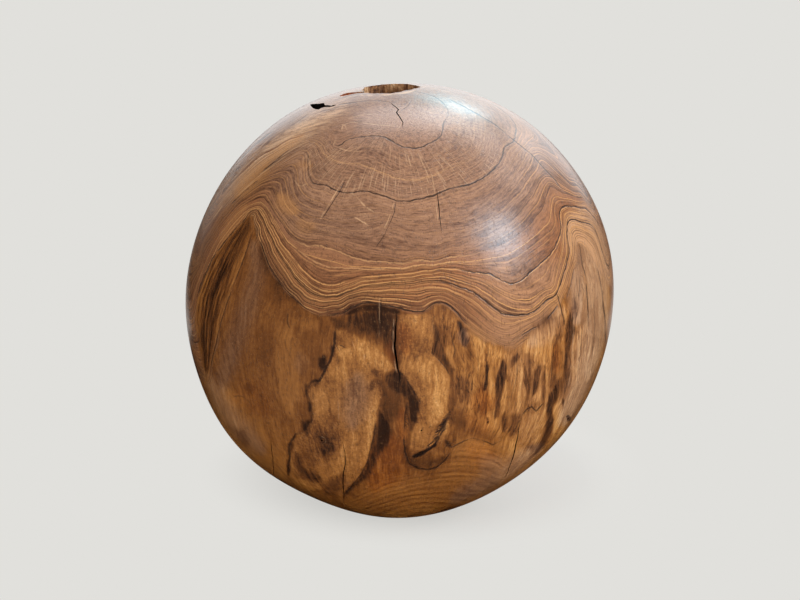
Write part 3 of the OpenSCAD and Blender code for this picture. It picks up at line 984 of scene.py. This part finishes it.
def draw_patches(mesh, places, x, y, front, below):
    """Stores pale patches, stains, dark and light shapes and thin lines, and long stains on the far side."""
    back = 1 - front
    pale = np.max([inside(x, y, outline) for outline in PALE_OUTLINES_PX], axis=0) * MM_PER_PX
    pale_back = clouds(places, 11, 1) * 24 - 5
    keep(mesh, "pale", np.clip(pale * front + pale_back * back, -30, 30))

    tall = np.column_stack([unit((places - MIDDLE) @ TO_ROUND[:, :2]) * BALL_R, 0.3 * places[:, 2]])
    stain_back = 0.8 * smooth(0.12, 0.55, clouds(tall, 24, 2)) * below
    gold_back = smooth(0.1, 0.6, clouds(tall, 18, 3)) * below
    keep(mesh, "stain", soft_strokes(x, y, STAINS_PX) * front + stain_back * back)
    keep(mesh, "gold", soft_strokes(x, y, GOLD_PX) * front + gold_back * back)
    keep(mesh, "dusk", soft_strokes(x, y, DUSK_PX) * front)
    keep(mesh, "amber", soft_strokes(x, y, AMBER_PX) * front)
    for name, outlines in (("dark", DARK_SHAPES_PX), ("light", LIGHT_SHAPES_PX)):
        room, strength = shapes(x, y, outlines)
        keep(mesh, name + "_room", room)
        keep(mesh, name + "_bold", strength * front)
    for name, strokes in (("ink", INK_PX), ("pale_line", PALE_LINES_PX)):
        away, strength = thin_strokes(x, y, strokes)
        keep(mesh, name + "_away", away)
        keep(mesh, name + "_bold", strength * front)


def draw_zones(mesh, places, x, y, front, below):
    """Stores the ridge, the panel, the streaky wood and the arches."""
    ridge = inside(x, y, RIDGE_LEFT_PX + RIDGE_RIGHT_PX[-2:0:-1])
    keep(mesh, "ridge", smooth(-1.5, 1.5, ridge) * front)
    sides = [np.array(line, float).T for line in (RIDGE_LEFT_PX, RIDGE_RIGHT_PX)]
    left, right = [np.interp(y, rows, columns) for columns, rows in sides]
    keep(mesh, "ridge_across", np.clip((x - left) / np.maximum(right - left, 2), -1, 2))

    keep(mesh, "panel", within(x, y, PANEL_OUTLINE_PX, 0, 12) * front)
    streaky_back = smooth(-0.3, 0.2, clouds(places, 7, 4)) * below
    keep(mesh, "streaky", within(x, y, RIGHT_OUTLINE_PX, 6, 8) * front + streaky_back * (1 - front))

    fall = np.clip((y - ARCH_HIGH_PX[1]) / (ARCH_LOW_PX[1] - ARCH_HIGH_PX[1]), 0, 1.6)
    crown = ARCH_HIGH_PX[0] + (ARCH_LOW_PX[0] - ARCH_HIGH_PX[0]) * fall
    bend = ARCH_HIGH_FALL + (ARCH_LOW_FALL - ARCH_HIGH_FALL) * np.minimum(fall, 1)
    keep(mesh, "arches", (y - bend * (x - crown) ** 2) / ARCH_GAP_PX)
    keep(mesh, "arched", within(x, y, ARCH_OUTLINE_PX, 4, 10) * front)


def draw_hollow(mesh, depth, x, y):
    """Stores what the torn wood inside the hollow shows."""
    keep(mesh, "depth", depth)
    # 1 on the hollow's wall, where the torn wood shows its own tones, and 0 where it takes painted shade
    keep(mesh, "hollow_wall", eased(x, HOLLOW_WALL_PX) * smooth(*HOLLOW_ROWS_PX, y) * (depth > 0))
    keep(mesh, "reddish", smooth(*REDDISH_PX, x))
    keep(mesh, "splinters", eased(x, SPLINTERS_PX))


def draw_figure(mesh):
    """Stores the wood's figure on the mesh, and gives each vertex's depth under the skin in millimetres."""
    places = np.empty(len(mesh.vertices) * 3, np.float32)
    mesh.vertices.foreach_get("co", places)
    places = places.reshape(-1, 3).astype(float)
    steps = (places - MIDDLE) @ TO_ROUND
    ways = unit(steps)
    depth = np.maximum(1 + swell(ways) - np.linalg.norm(steps, axis=1), 0) * BALL_R / MM
    front = front_share(ways)
    x, y = in_photo(skin(ways))
    rings = draw_rings(mesh, ways, x, y, front)
    below = smooth(30, 33, rings)
    draw_patches(mesh, places, x, y, front, below)
    draw_zones(mesh, places, x, y, front, below)
    draw_hollow(mesh, depth, x, y)
    return depth


# finishes

def tint(red, green, blue):
    """A colour as it shows on a screen, 0 to 255, as the shader's linear colour."""
    def linear(c):
        c = c / 255
        return c / 12.92 if c <= 0.04045 else ((c + 0.055) / 1.055) ** 2.4
    return (linear(red), linear(green), linear(blue), 1)


class Value:
    """One output of a node, with arithmetic."""

    def __init__(self, finish, socket):
        self.finish = finish
        self.socket = socket

    def maths(self, operation, *values):
        return self.finish.add("ShaderNodeMath", {"operation": operation}, dict(enumerate(values)))

    def __add__(self, other):
        return self.maths("ADD", self, other)

    def __radd__(self, other):
        return self.maths("ADD", other, self)

    def __sub__(self, other):
        return self.maths("SUBTRACT", self, other)

    def __rsub__(self, other):
        return self.maths("SUBTRACT", other, self)

    def __mul__(self, other):
        return self.maths("MULTIPLY", self, other)

    def __rmul__(self, other):
        return self.maths("MULTIPLY", other, self)

    def __truediv__(self, other):
        return self.maths("DIVIDE", self, other)

    def __rtruediv__(self, other):
        return self.maths("DIVIDE", other, self)

    def __abs__(self):
        return self.maths("ABSOLUTE", self)

    def root(self):
        return self.maths("SQRT", self)

    def floor(self):
        return self.maths("FLOOR", self)

    def most(self, other):
        return self.maths("MAXIMUM", self, other)

    def least(self, other):
        return self.maths("MINIMUM", self, other)

    def over(self, low, high):
        """0 below low, 1 above high and smooth between, or the other way round if low is the greater."""
        return self.finish.add("ShaderNodeMapRange", {"interpolation_type": "SMOOTHSTEP"},
                               {"Value": self, "From Min": low, "From Max": high})


class Finish:
    """The node sheet of a material or of the room's light."""

    def __init__(self, owner):
        owner.use_nodes = True
        self.tree = owner.node_tree
        self.tree.nodes.clear()

    def add(self, kind, settings=None, inputs=None, output=0):
        node = self.tree.nodes.new(kind)
        for key, value in (settings or {}).items():
            setattr(node, key, value)
        for key, value in (inputs or {}).items():
            if isinstance(value, Value):
                self.tree.links.new(value.socket, node.inputs[key])
            else:
                node.inputs[key].default_value = value
        return Value(self, node.outputs[output]) if node.outputs else None

    def place(self):
        return self.add("ShaderNodeTexCoord", output="Object")

    def stored(self, name):
        return self.add("ShaderNodeAttribute", {"attribute_name": name}, output="Fac")

    def stretched(self, place, x, y, z):
        return self.add("ShaderNodeVectorMath", {"operation": "MULTIPLY"}, {0: place, 1: (x, y, z)})

    def point(self, x, y, z):
        return self.add("ShaderNodeCombineXYZ", {}, {0: x, 1: y, 2: z})

    def cloud(self, place, scale, detail=2.0, rough=0.5):
        return self.add("ShaderNodeTexNoise", {}, {"Vector": place, "Scale": scale, "Detail": detail,
                                                   "Roughness": rough})

    def drift(self, place, scale, detail=2.0, rough=0.5):
        """Noise about 0, mostly within 1 of it."""
        return (self.cloud(place, scale, detail, rough) - 0.5) * 3

    def chance(self, number):
        return self.add("ShaderNodeTexWhiteNoise", {"noise_dimensions": "1D"}, {"W": number})

    def graded(self, tone, stops):
        """Colour along stops of tone and colour."""
        colour = stops[0][1]
        for (low, first), (high, second) in zip(stops, stops[1:]):
            share = self.add("ShaderNodeMapRange", {}, {"Value": tone, "From Min": low, "From Max": high})
            colour = self.blend(share, colour, second)
        return colour

    def nearest_ring(self, ring, gap, numbers):
        """Millimetres to the nearest of some rings."""
        away = abs(ring - numbers[0])
        for number in numbers[1:]:
            away = away.least(abs(ring - number))
        return away * gap

    def blend(self, share, first, second):
        """Colour from first to second by share."""
        return self.add("ShaderNodeMix", {"data_type": "RGBA"}, {0: share, 6: first, 7: second}, output=2)

    def relief(self, height, deep):
        """Bumps as deep as so many metres where height changes by 1."""
        return self.add("ShaderNodeBump", {}, {"Height": height, "Distance": deep, "Strength": 1.0})

    def coated(self, colour, roughness, bump, coat):
        """The surface itself, under a coat of wax or bare."""
        varying = {"Base Color": colour, "Roughness": roughness, "Normal": bump}
        return self.add("ShaderNodeBsdfPrincipled", {}, varying | coat)

    def close(self, shader):
        self.add("ShaderNodeOutputMaterial", {}, {"Surface": shader})


WAX_COAT = {"Coat Weight": 0.5, "Coat Roughness": 0.26}

# tones of the wood from its darkest to its palest: plain, greyish and orange
PLAIN_TONES = [(0.0, tint(24, 12, 6)), (0.2, tint(62, 32, 10)), (0.4, tint(124, 70, 21)),
               (0.6, tint(174, 111, 46)), (0.8, tint(214, 151, 79)), (1.0, tint(240, 197, 140))]
DUSKY_TONES = [(0.0, tint(28, 18, 14)), (0.2, tint(64, 42, 30)), (0.4, tint(116, 80, 58)),
               (0.6, tint(164, 120, 86)), (0.8, tint(208, 164, 124)), (1.0, tint(236, 204, 168))]
AMBER_TONES = [(0.0, tint(26, 11, 4)), (0.2, tint(70, 34, 8)), (0.4, tint(126, 63, 8)),
               (0.6, tint(180, 106, 32)), (0.8, tint(222, 150, 68)), (1.0, tint(244, 196, 130))]

# tones of the torn wood at the reddish end of the hollow, and painted shade for deep in the hollow, the
# split and the checks
REDDISH_TONES = [(0.0, tint(40, 18, 10)), (0.4, tint(150, 80, 48)), (0.75, tint(214, 142, 100)),
                 (1.0, tint(246, 210, 172))]
PAINTED_SHADE_TONES = [(0.0, tint(12, 7, 5)), (1.0, tint(44, 26, 16))]


class Grain:
    """Places along the fibres and round the heart, and the noise that the finishes share."""

    def __init__(self, sheet):
        def vector(operation, *values, output=0):
            inputs = dict(enumerate(values))
            return sheet.add("ShaderNodeVectorMath", {"operation": operation}, inputs, output)
        self.place = sheet.place()
        step = vector("SUBTRACT", self.place, tuple(MIDDLE))

        # the fibres of the lower half run up the ball like the seams of a pumpkin
        around = vector("NORMALIZE", vector("MULTIPLY", step, (1, 1, 0)))
        height = vector("MULTIPLY", step, (0, 0, 1))
        self.upright = vector("MULTIPLY_ADD", around, (BALL_R, BALL_R, 0), height)
        bends = {"Vector": self.place, "Scale": 16.0, "Detail": 2.0}
        sway = sheet.add("ShaderNodeTexNoise", {}, bends, "Color")
        swayed = vector("MULTIPLY_ADD", sway, (0.03, 0.03, 0.02), self.upright)
        self.long = sheet.drift(sheet.stretched(swayed, 80, 80, 8), 1.0, 4, 0.6)
        self.streaks = sheet.drift(sheet.stretched(swayed, 230, 230, 20), 1.0, 3, 0.6)
        self.fine = sheet.drift(sheet.stretched(swayed, 480, 480, 48), 1.0, 3, 0.65)
        self.blotch = sheet.drift(self.place, 24, 4, 0.6)
        self.speckle = sheet.drift(self.place, 260, 3, 0.65)
        self.fibre = sheet.drift(self.place, 620, 3, 0.6)

        # where the rings run, a turn round the heart as a point on a circle, so that it has no seam
        out = vector("NORMALIZE", step)
        east = vector("DOT_PRODUCT", out, tuple(HEART_SIDE), output="Value")
        north = vector("DOT_PRODUCT", out, tuple(HEART_BACK), output="Value")
        reach = (east * east + north * north + 0.0004).root()
        self.east, self.north = east / reach, north / reach

    def round_heart(self, sheet, turns, height):
        return sheet.point(self.east * turns, self.north * turns, height)


def ring_lines(sheet, wood, ring, gap, seed):
    """Tone of each ring, its dark late edge and its golden early edge."""
    number = ring.floor()
    share = ring - number
    along = sheet.drift(wood.round_heart(sheet, 6, number * 3.7 + seed), 1.0, 3) * 0.55
    dark_runs = (sheet.chance(number + 41.3 + seed) + along).over(0.25, 0.65)
    gold_runs = (sheet.chance(number + 87.9 + seed) + along).over(0.25, 0.65)
    dark = ((1 - share) * gap).over(0.95, 0.15) * dark_runs
    gold = abs(share * gap - 0.85).over(0.75, 0.15) * gold_runs
    return sheet.chance(number + seed), dark, gold


def ring_wood(sheet, wood, rings, gap, bold):
    """Colour of the upper half, where the rings show, with its brushed relief and its boldest rings."""
    lively = sheet.stored("lively")
    wander = sheet.drift(wood.place, 22, 3) * 1.2 + sheet.drift(wood.place, 100, 2) * 0.6
    ring = rings + wander / gap
    tone, dark_line, gold_line = ring_lines(sheet, wood, ring, gap, 0)
    thin_dark, thin_gold = ring_lines(sheet, wood, ring * 2.3 + 0.37, gap / 2.3, 11.7)[1:]
    dark_line = dark_line.most(thin_dark * 0.5)
    gold_line = gold_line.most(thin_gold * 0.45)
    brushed = sheet.drift(wood.round_heart(sheet, 6, ring * 3.6), 1.0, 4, 0.65)
    fine = sheet.drift(wood.round_heart(sheet, 17, ring * 5.2), 1.0, 3, 0.65)
    scrapes = sheet.drift(wood.round_heart(sheet, 7, ring * 1.3), 1.0, 4, 0.7)
    plain = rings.over(8, 3)
    band = 0.46 + (tone - 0.5) * (0.14 + lively * 0.34) * (1 - plain) + brushed * (0.24 + lively * 0.16)
    band = band + fine * 0.4 + sheet.drift(wood.place, 8, 3) * 0.22 + wood.fibre * 0.12
    warm = sheet.stored("warm")
    light = sheet.blend(warm, tint(178, 131, 98), tint(164, 102, 56))
    dark = sheet.blend(warm, tint(94, 58, 42), tint(70, 36, 20))
    # paler tones where the skin is worn; along the upper rims these are partly painted sheen, and on the low
    # right side painted light
    wear_and_painted_light = sheet.stored("wear_and_painted_light")
    band = band - wear_and_painted_light * scrapes * 0.55
    light = sheet.blend(wear_and_painted_light, light, tint(243, 196, 152))
    dark = sheet.blend(wear_and_painted_light, dark, tint(134, 87, 57))
    colour = sheet.blend(band.over(0.0, 1.0), light, dark)
    colour = sheet.blend(gold_line * (0.12 + lively * 0.68) * (1 - plain), colour, tint(220, 158, 94))
    colour = sheet.blend(dark_line * (0.14 + lively * 0.72) * (1 - plain), colour, tint(56, 30, 16))

    # pale ray flecks that stand out from the heart, and fine pale rings between them
    flecks = sheet.cloud(wood.round_heart(sheet, 66, rings * 0.3), 1.0, 3, 0.55).over(0.55, 0.63)
    flecks = flecks * sheet.drift(wood.place, 20, 1).over(-0.5, 0.1)
    hoops = thin_gold.most(gold_line) * 0.5
    near_heart = rings.over(4.6, 6.0) * rings.over(13, 10)
    colour = sheet.blend(flecks.most(hoops * 0.4) * near_heart * 0.4, colour, tint(216, 174, 134))

    # the rings that stand out, dark or golden
    jag = rings + (sheet.drift(wood.place, 170, 3) * 0.9 + sheet.drift(wood.place, 45, 2) * 0.5) / gap
    width = sheet.drift(wood.place, 130, 2) * 0.45
    dark_ring = (sheet.nearest_ring(jag, gap, (5.0, 11.5, 23.0, 26.0, 31.0)) + width).over(1.0, 0.3) * bold
    gold_ring = (sheet.nearest_ring(jag, gap, (8.0, 20.0, 21.4)) + width).over(0.9, 0.2) * bold
    colour = sheet.blend(gold_ring * 0.55, colour, tint(216, 160, 106))

    # the ridge at the left has long streaks instead
    across = sheet.stored("ridge_across")
    upright = sheet.add("ShaderNodeSeparateXYZ", {}, {0: wood.place}, "Z")
    streaks = sheet.drift(sheet.point(across * 15, upright * 22, 0.5), 1.0, 4, 0.65)
    hairs = sheet.drift(sheet.point(across * 36, upright * 70, 2.5), 1.0, 3, 0.65)
    ridge_tone = 0.31 + streaks * 0.3 + hairs * 0.24 + abs(across - 0.5).over(0.15, 0.5) * 0.16
    colour = sheet.blend(sheet.stored("ridge"), colour, sheet.graded(ridge_tone, PLAIN_TONES))
    return colour, brushed, dark_ring


def side_wood(sheet, wood, pale_share):
    """Colour of the lower half: side grain, flames, pale sapwood, arches and stains, all as one tone."""
    streaky, arched = sheet.stored("streaky"), sheet.stored("arched")
    feathers = sheet.drift(sheet.stretched(wood.upright, 330, 330, 50), 1.0, 3, 0.65)
    dark = (sheet.stored("dark_room") + feathers * 0.75).over(-0.9, 0.9) * sheet.stored("dark_bold")
    light = (sheet.stored("light_room") + feathers * 0.75).over(-0.9, 0.9) * sheet.stored("light_bold")
    stain = sheet.stored("stain") * (1 + wood.streaks * 0.5 + wood.fine * 0.4)
    gold = sheet.stored("gold") * (1 + wood.streaks * 0.4)

    # long flames with thin dark edges
    flame = sheet.cloud(sheet.stretched(wood.upright, 75, 75, 11), 1.0, 4, 0.6) * 11
    flame_edge = abs(flame - flame.floor() - 0.5).over(0.16, 0.02)
    flame_edge = flame_edge * sheet.drift(wood.place, 40, 2).over(-0.5, 0.4)
    wisps = sheet.drift(sheet.stretched(wood.upright, 140, 140, 14), 1.0, 4, 0.65)
    flames = wisps * 0.16 - flame_edge * 0.15 + wood.fine * 0.1 + 0.15

    # arched lines at the foot, with their grain along them
    arches = sheet.stored("arches") + sheet.drift(wood.place, 26, 3) * 0.6
    arch_number = arches.floor()
    arch_line = abs(arches - arch_number - 0.6).over(0.4, 0.05)
    arch_line = arch_line * (sheet.chance(arch_number + 5.1) * 0.7 + 0.3)
    along = sheet.stretched(wood.place, 30, 30, 0)
    lift = sheet.point(0, 0, arches * 2.6)
    along = sheet.add("ShaderNodeVectorMath", {"operation": "ADD"}, {0: along, 1: lift})
    arch_grain = sheet.drift(along, 1.0, 3, 0.65)

    grain = wood.long * 0.09 + wood.streaks * 0.08 + wood.fine * 0.13
    panel = sheet.stored("panel")
    grain = grain * (1 - arched * 0.8) * (1 - panel * 0.4) + arch_grain * 0.11 * arched
    tone = 0.42 + grain + wood.blotch * 0.07 + wood.speckle * 0.05
    tone = tone + pale_share * (0.09 + wood.speckle * 0.06 + wood.fibre * 0.09) + streaky * flames
    tone = tone + (gold * 0.2).most(light * 0.2) - arched * (arch_line * 0.1 - 0.09)
    tone = tone - (stain * 0.3).most(dark * 0.42)
    colour = sheet.graded(tone, PLAIN_TONES)
    amber = (sheet.stored("amber") * (1 + wood.streaks * 0.3)).over(0.0, 1.0)
    colour = sheet.blend(amber, colour, sheet.graded(tone, AMBER_TONES))
    dusk = (sheet.stored("dusk") * (1 + wood.streaks * 0.3)).over(0.0, 1.0)
    return sheet.blend(dusk, colour, sheet.graded(tone, DUSKY_TONES)), dark, flames * streaky


def waxed_teak():
    """The ball's sanded and waxed skin."""
    material = bpy.data.materials.new("waxed_root_teak")
    sheet = Finish(material)
    wood = Grain(sheet)
    rings, gap, bold = sheet.stored("rings"), sheet.stored("ring_gap"), sheet.stored("bold")
    ragged = sheet.drift(sheet.stretched(wood.place, 130, 130, 70), 1.0, 4, 0.65) * 2.2
    pale_share = (sheet.stored("pale") + ragged).over(-0.9, 1.5)
    ring_colour, brushed, dark_ring = ring_wood(sheet, wood, rings, gap, bold)
    side_colour, dark, flames = side_wood(sheet, wood, pale_share)

    # rings meet the lower half in a broken edge
    room = sheet.stored("ring_room") + wood.blotch * 2.2 + sheet.drift(wood.place, 120, 2) * 0.8
    meet = room.over(-1.2, 1.2).most(sheet.stored("ridge"))
    colour = sheet.blend(meet, side_colour, ring_colour)
    colour = sheet.blend(sheet.stored("stain") * meet * 0.6, colour, tint(74, 42, 24))
    colour = sheet.blend(sheet.stored("gold") * meet * 0.5, colour, tint(206, 142, 78))
    colour = sheet.blend(dark_ring * 0.85, colour, tint(48, 28, 19))

    # thin lines
    shake = sheet.drift(wood.place, 300, 2) * 0.5 + sheet.drift(wood.place, 90, 2) * 0.5
    ink = abs(sheet.stored("ink_away") + shake).over(1.3, 0.5) * sheet.stored("ink_bold")
    ink = ink * (sheet.drift(wood.place, 60, 2) + 0.7).over(0.0, 0.7)
    colour = sheet.blend(ink * 0.9, colour, tint(44, 25, 15))
    # pale lines: worn edges and scratches, and the painted highlight on the hollow's front lip
    wear_and_painted_light = abs(sheet.stored("pale_line_away") + shake).over(1.3, 0.4) * sheet.stored("pale_line_bold")
    wear_and_painted_light = wear_and_painted_light * (sheet.drift(wood.place, 90, 2) + 0.4).over(0.0, 0.8)
    colour = sheet.blend(wear_and_painted_light * 0.7, colour, tint(224, 178, 132))

    # pores and bright fibres
    pores = sheet.cloud(sheet.stretched(wood.place, 800, 800, 220), 1.0, 2, 0.5).over(0.57, 0.7)
    colour = sheet.blend(pores * 0.34, colour, tint(52, 29, 15))
    colour = sheet.blend(wood.fibre.over(0.25, 1.0) * 0.3, colour, tint(228, 168, 100))

    roughness = 0.36 + wood.fine * 0.03 + dark * 0.08 + pale_share * (1 - meet) * 0.05
    hand_sanded = sheet.drift(wood.place, 46, 2) * 0.5
    height = brushed * 0.12 * meet + wood.fine * 0.1 + hand_sanded - ink * 0.9 - dark_ring * 0.35
    height = height - pores * 0.3 - dark * 0.5 + flames * 0.8
    bump = sheet.relief(height, 0.0004)
    sheet.close(sheet.coated(colour, roughness, bump, WAX_COAT))
    return material


def torn_wood():
    """The bare, torn wood inside the hollow, darkened deeper down with painted shade, and painted shade for
    the dark inside of the split and the checks.
    """
    material = bpy.data.materials.new("torn_bare_teak")
    sheet = Finish(material)
    place = sheet.place()
    depth = sheet.stored("depth")
    fibres = sheet.drift(sheet.stretched(place, 300, 300, 46), 1.0, 4, 0.65)
    lumps = sheet.drift(place, 110, 4, 0.6)
    # painted shade: the torn wood darkens the deeper it lies
    tone = 0.5 + fibres * 0.4 + lumps * 0.36 - (depth + lumps * 5).over(4, 40) * 0.3
    tone = tone + sheet.stored("splinters") * (0.1 + fibres * 0.6) + sheet.drift(place, 420, 2) * 0.16 + 0.05
    golden = sheet.blend(0.7, sheet.graded(tone, PLAIN_TONES), sheet.graded(tone, DUSKY_TONES))
    colour = sheet.blend(sheet.stored("reddish"), golden, sheet.graded(tone, REDDISH_TONES))
    # painted shade: the inside of the split, the checks and the hollow's depths, everywhere off the hollow's
    # wall
    painted_shade = sheet.graded(tone, PAINTED_SHADE_TONES)
    colour = sheet.blend(sheet.stored("hollow_wall"), painted_shade, colour)
    roughness = 0.78 + lumps * 0.07
    bump = sheet.relief(fibres * 0.5 + lumps * 0.5, 0.0018)
    sheet.close(sheet.coated(colour, roughness, bump, {}))
    return material


# the piece

# faces deeper than this under the skin, in millimetres, are torn wood
TORN_DEPTH = 0.08
SHARP_ANGLE = math.radians(38)

ball = make_ball()
mesh = ball.data
skin_depth = draw_figure(mesh)
mesh.materials.clear()
mesh.materials.append(waxed_teak())
mesh.materials.append(torn_wood())
corners = np.empty(len(mesh.polygons) * 3, int)
mesh.polygons.foreach_get("vertices", corners)
deepest = skin_depth[corners].reshape(-1, 3).max(1)
mesh.polygons.foreach_set("material_index", (deepest > TORN_DEPTH).astype(np.int32))
mesh.polygons.foreach_set("use_smooth", np.ones(len(mesh.polygons), bool))
mesh.set_sharp_from_angle(angle=SHARP_ANGLE)
mesh.update()
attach(ball, "root")
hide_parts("ball")

# floor, light and camera

BACKDROP_TINT = tint(225, 224, 220)
FLOOR_LIT_TINT = (0.9, 0.89, 0.87, 1)
FLOOR_HALF = 12.0
CARD_LOW = (-0.5, 0.5, 0.0005)
CARD_HIGH = (0.5, 3.0, 0.0005)
# how much of the floor's tone is its own in the shadow, the shadow's middle, and how far it reaches
NEAR_GLOW = 0.74
SHADOW_AT = (0.03, 0.11, 0)
NEAR_R = 0.13
FAR_R = 0.235


def seen_directly(sheet):
    """1 where the camera, a reflection or a clear body shows it, and 0 where it only lights others."""
    def path(output):
        return sheet.add("ShaderNodeLightPath", output=output)
    return path("Is Camera Ray").most(path("Is Glossy Ray")).most(path("Is Transmission Ray"))


def pale_floor():
    """A pale floor that keeps the ball's shadow, and evens out to the backdrop's tone away from it."""
    material = bpy.data.materials.new("pale_floor")
    sheet = Finish(material)
    apart = {0: sheet.place(), 1: SHADOW_AT}
    away = sheet.add("ShaderNodeVectorMath", {"operation": "DISTANCE"}, apart, "Value")
    glow = seen_directly(sheet) * (NEAR_GLOW + away.over(NEAR_R, FAR_R) * (1 - NEAR_GLOW))
    lit = sheet.add("ShaderNodeBsdfDiffuse", {}, {"Color": FLOOR_LIT_TINT})
    own = sheet.add("ShaderNodeEmission", {}, {"Color": BACKDROP_TINT})
    sheet.close(sheet.add("ShaderNodeMixShader", {}, {0: glow, 1: lit, 2: own}))
    return material


def floor_sheet(name, low, high):
    """One sheet of the floor, from its low corner to its high one."""
    middle, half = (Vector(high) + Vector(low)) / 2, (Vector(high) - Vector(low)) / 2
    bm = bmesh.new()
    bmesh.ops.create_grid(bm, x_segments=1, y_segments=1, size=1)
    bmesh.ops.scale(bm, vec=(half.x, half.y, 1), verts=bm.verts[:])
    bmesh.ops.translate(bm, vec=middle, verts=bm.verts[:])
    mesh = mesh_of(bm, name)
    mesh.materials.append(floor_finish)
    piece = placed(name, mesh)
    return piece


# of the floor, the wax shows only the card behind the ball, as a thin pale rim
floor_finish = pale_floor()
floor_sheet("floor", (-FLOOR_HALF, -FLOOR_HALF, 0), (FLOOR_HALF, FLOOR_HALF, 0)).visible_glossy = False
floor_sheet("card_behind", CARD_LOW, CARD_HIGH)

ROOM_TINT = (0.98, 0.99, 1.0, 1)
ROOM_LIGHT = 0.62
room = bpy.data.worlds.new("room")
bpy.context.scene.world = room
sheet = Finish(room)
room_light = sheet.add("ShaderNodeBackground", {}, {"Color": ROOM_TINT, "Strength": ROOM_LIGHT})
backdrop = sheet.add("ShaderNodeBackground", {}, {"Color": BACKDROP_TINT})
mixed = sheet.add("ShaderNodeMixShader", {}, {0: seen_directly(sheet), 1: room_light, 2: backdrop})
sheet.add("ShaderNodeOutputWorld", {}, {"Surface": mixed})
room.cycles_visibility.glossy = False


def soft_lamp(name, way, far, size, power, colour, shine=True, light=True):
    """A soft rectangular lamp along a way from the ball's middle, facing it."""
    lamp = bpy.data.lights.new(name, "AREA")
    lamp.shape = "RECTANGLE"
    lamp.size, lamp.size_y = size
    lamp.energy = power
    lamp.color = colour
    holder = placed(name, lamp)
    way = Vector(way).normalized()
    holder.location = Vector(MIDDLE) + way * far
    holder.rotation_euler = (-way).to_track_quat("-Z", "Y").to_euler()
    holder.visible_glossy = shine
    holder.visible_diffuse = light


soft_lamp("overhead", (0.03, -0.3, 0.95), 3.0, (0.7, 0.7), 21, (1, 0.99, 0.97), shine=False)
soft_lamp("ceiling", (0.02, 0.5, 0.85), 2.6, (1.3, 1.0), 17, (0.95, 0.97, 1), light=False)
soft_lamp("pale_wall_behind", (0.105, 1, 0.34), 3.0, (3.4, 1.9), 33, (0.99, 0.99, 1), light=False)
soft_lamp("pale_wall_left", (-0.52, 0.86, 0.1), 3.0, (0.9, 0.9), 1.0, (1, 0.95, 0.88), light=False)
soft_lamp("right_pane", (0.6, 0.62, 0.52), 2.6, (0.8, 0.6), 5, (0.97, 0.99, 1), light=False)
soft_lamp("window_behind", (0.265, 0.745, 0.61), 3.0, (0.55, 0.3), 9.5, (0.55, 0.88, 1), light=False)
soft_lamp("window_left", (0.13, 0.79, 0.58), 2.8, (0.4, 0.3), 2.0, (0.12, 0.8, 1), light=False)
soft_lamp("window_haze", (0.34, 0.52, 0.78), 3.2, (1.5, 0.8), 15, (0.92, 0.97, 1), light=False)
soft_lamp("right_front", (0.755, -0.36, 0.54), 2.8, (0.8, 0.8), 25, (0.9, 0.95, 1), shine=False)
soft_lamp("right_window", (0.755, -0.36, 0.54), 2.6, (0.8, 0.8), 31, (0.56, 0.82, 1), light=False)
soft_lamp("right_high", (0.66, 0.22, 0.72), 2.8, (0.9, 0.9), 7, (0.92, 0.96, 1))
soft_lamp("front_fill", (0.35, -1, 0.02), 3.2, (2.4, 2.4), 32, (1, 0.97, 0.93), shine=False)
soft_lamp("back_right", (0.75, 0.7, 0.1), 3.0, (1.8, 1.8), 1, (1, 1, 1))

camera_data = bpy.data.cameras.new("photo_camera")
camera_data.sensor_width = SENSOR_MM
camera_data.lens = FOCAL_PX * SENSOR_MM / PHOTO_W
camera_data.shift_x = (PHOTO_W / 2 - BALL_PX[0]) / PHOTO_W
camera_data.shift_y = (BALL_PX[1] - PHOTO_H / 2) / PHOTO_W
camera = placed("photo_camera", camera_data)
camera.location = EYE
camera.rotation_euler = (math.pi / 2 - CAMERA_RISE, 0, 0)
bpy.context.scene.camera = camera
bpy.context.scene.view_settings.view_transform = "Standard"
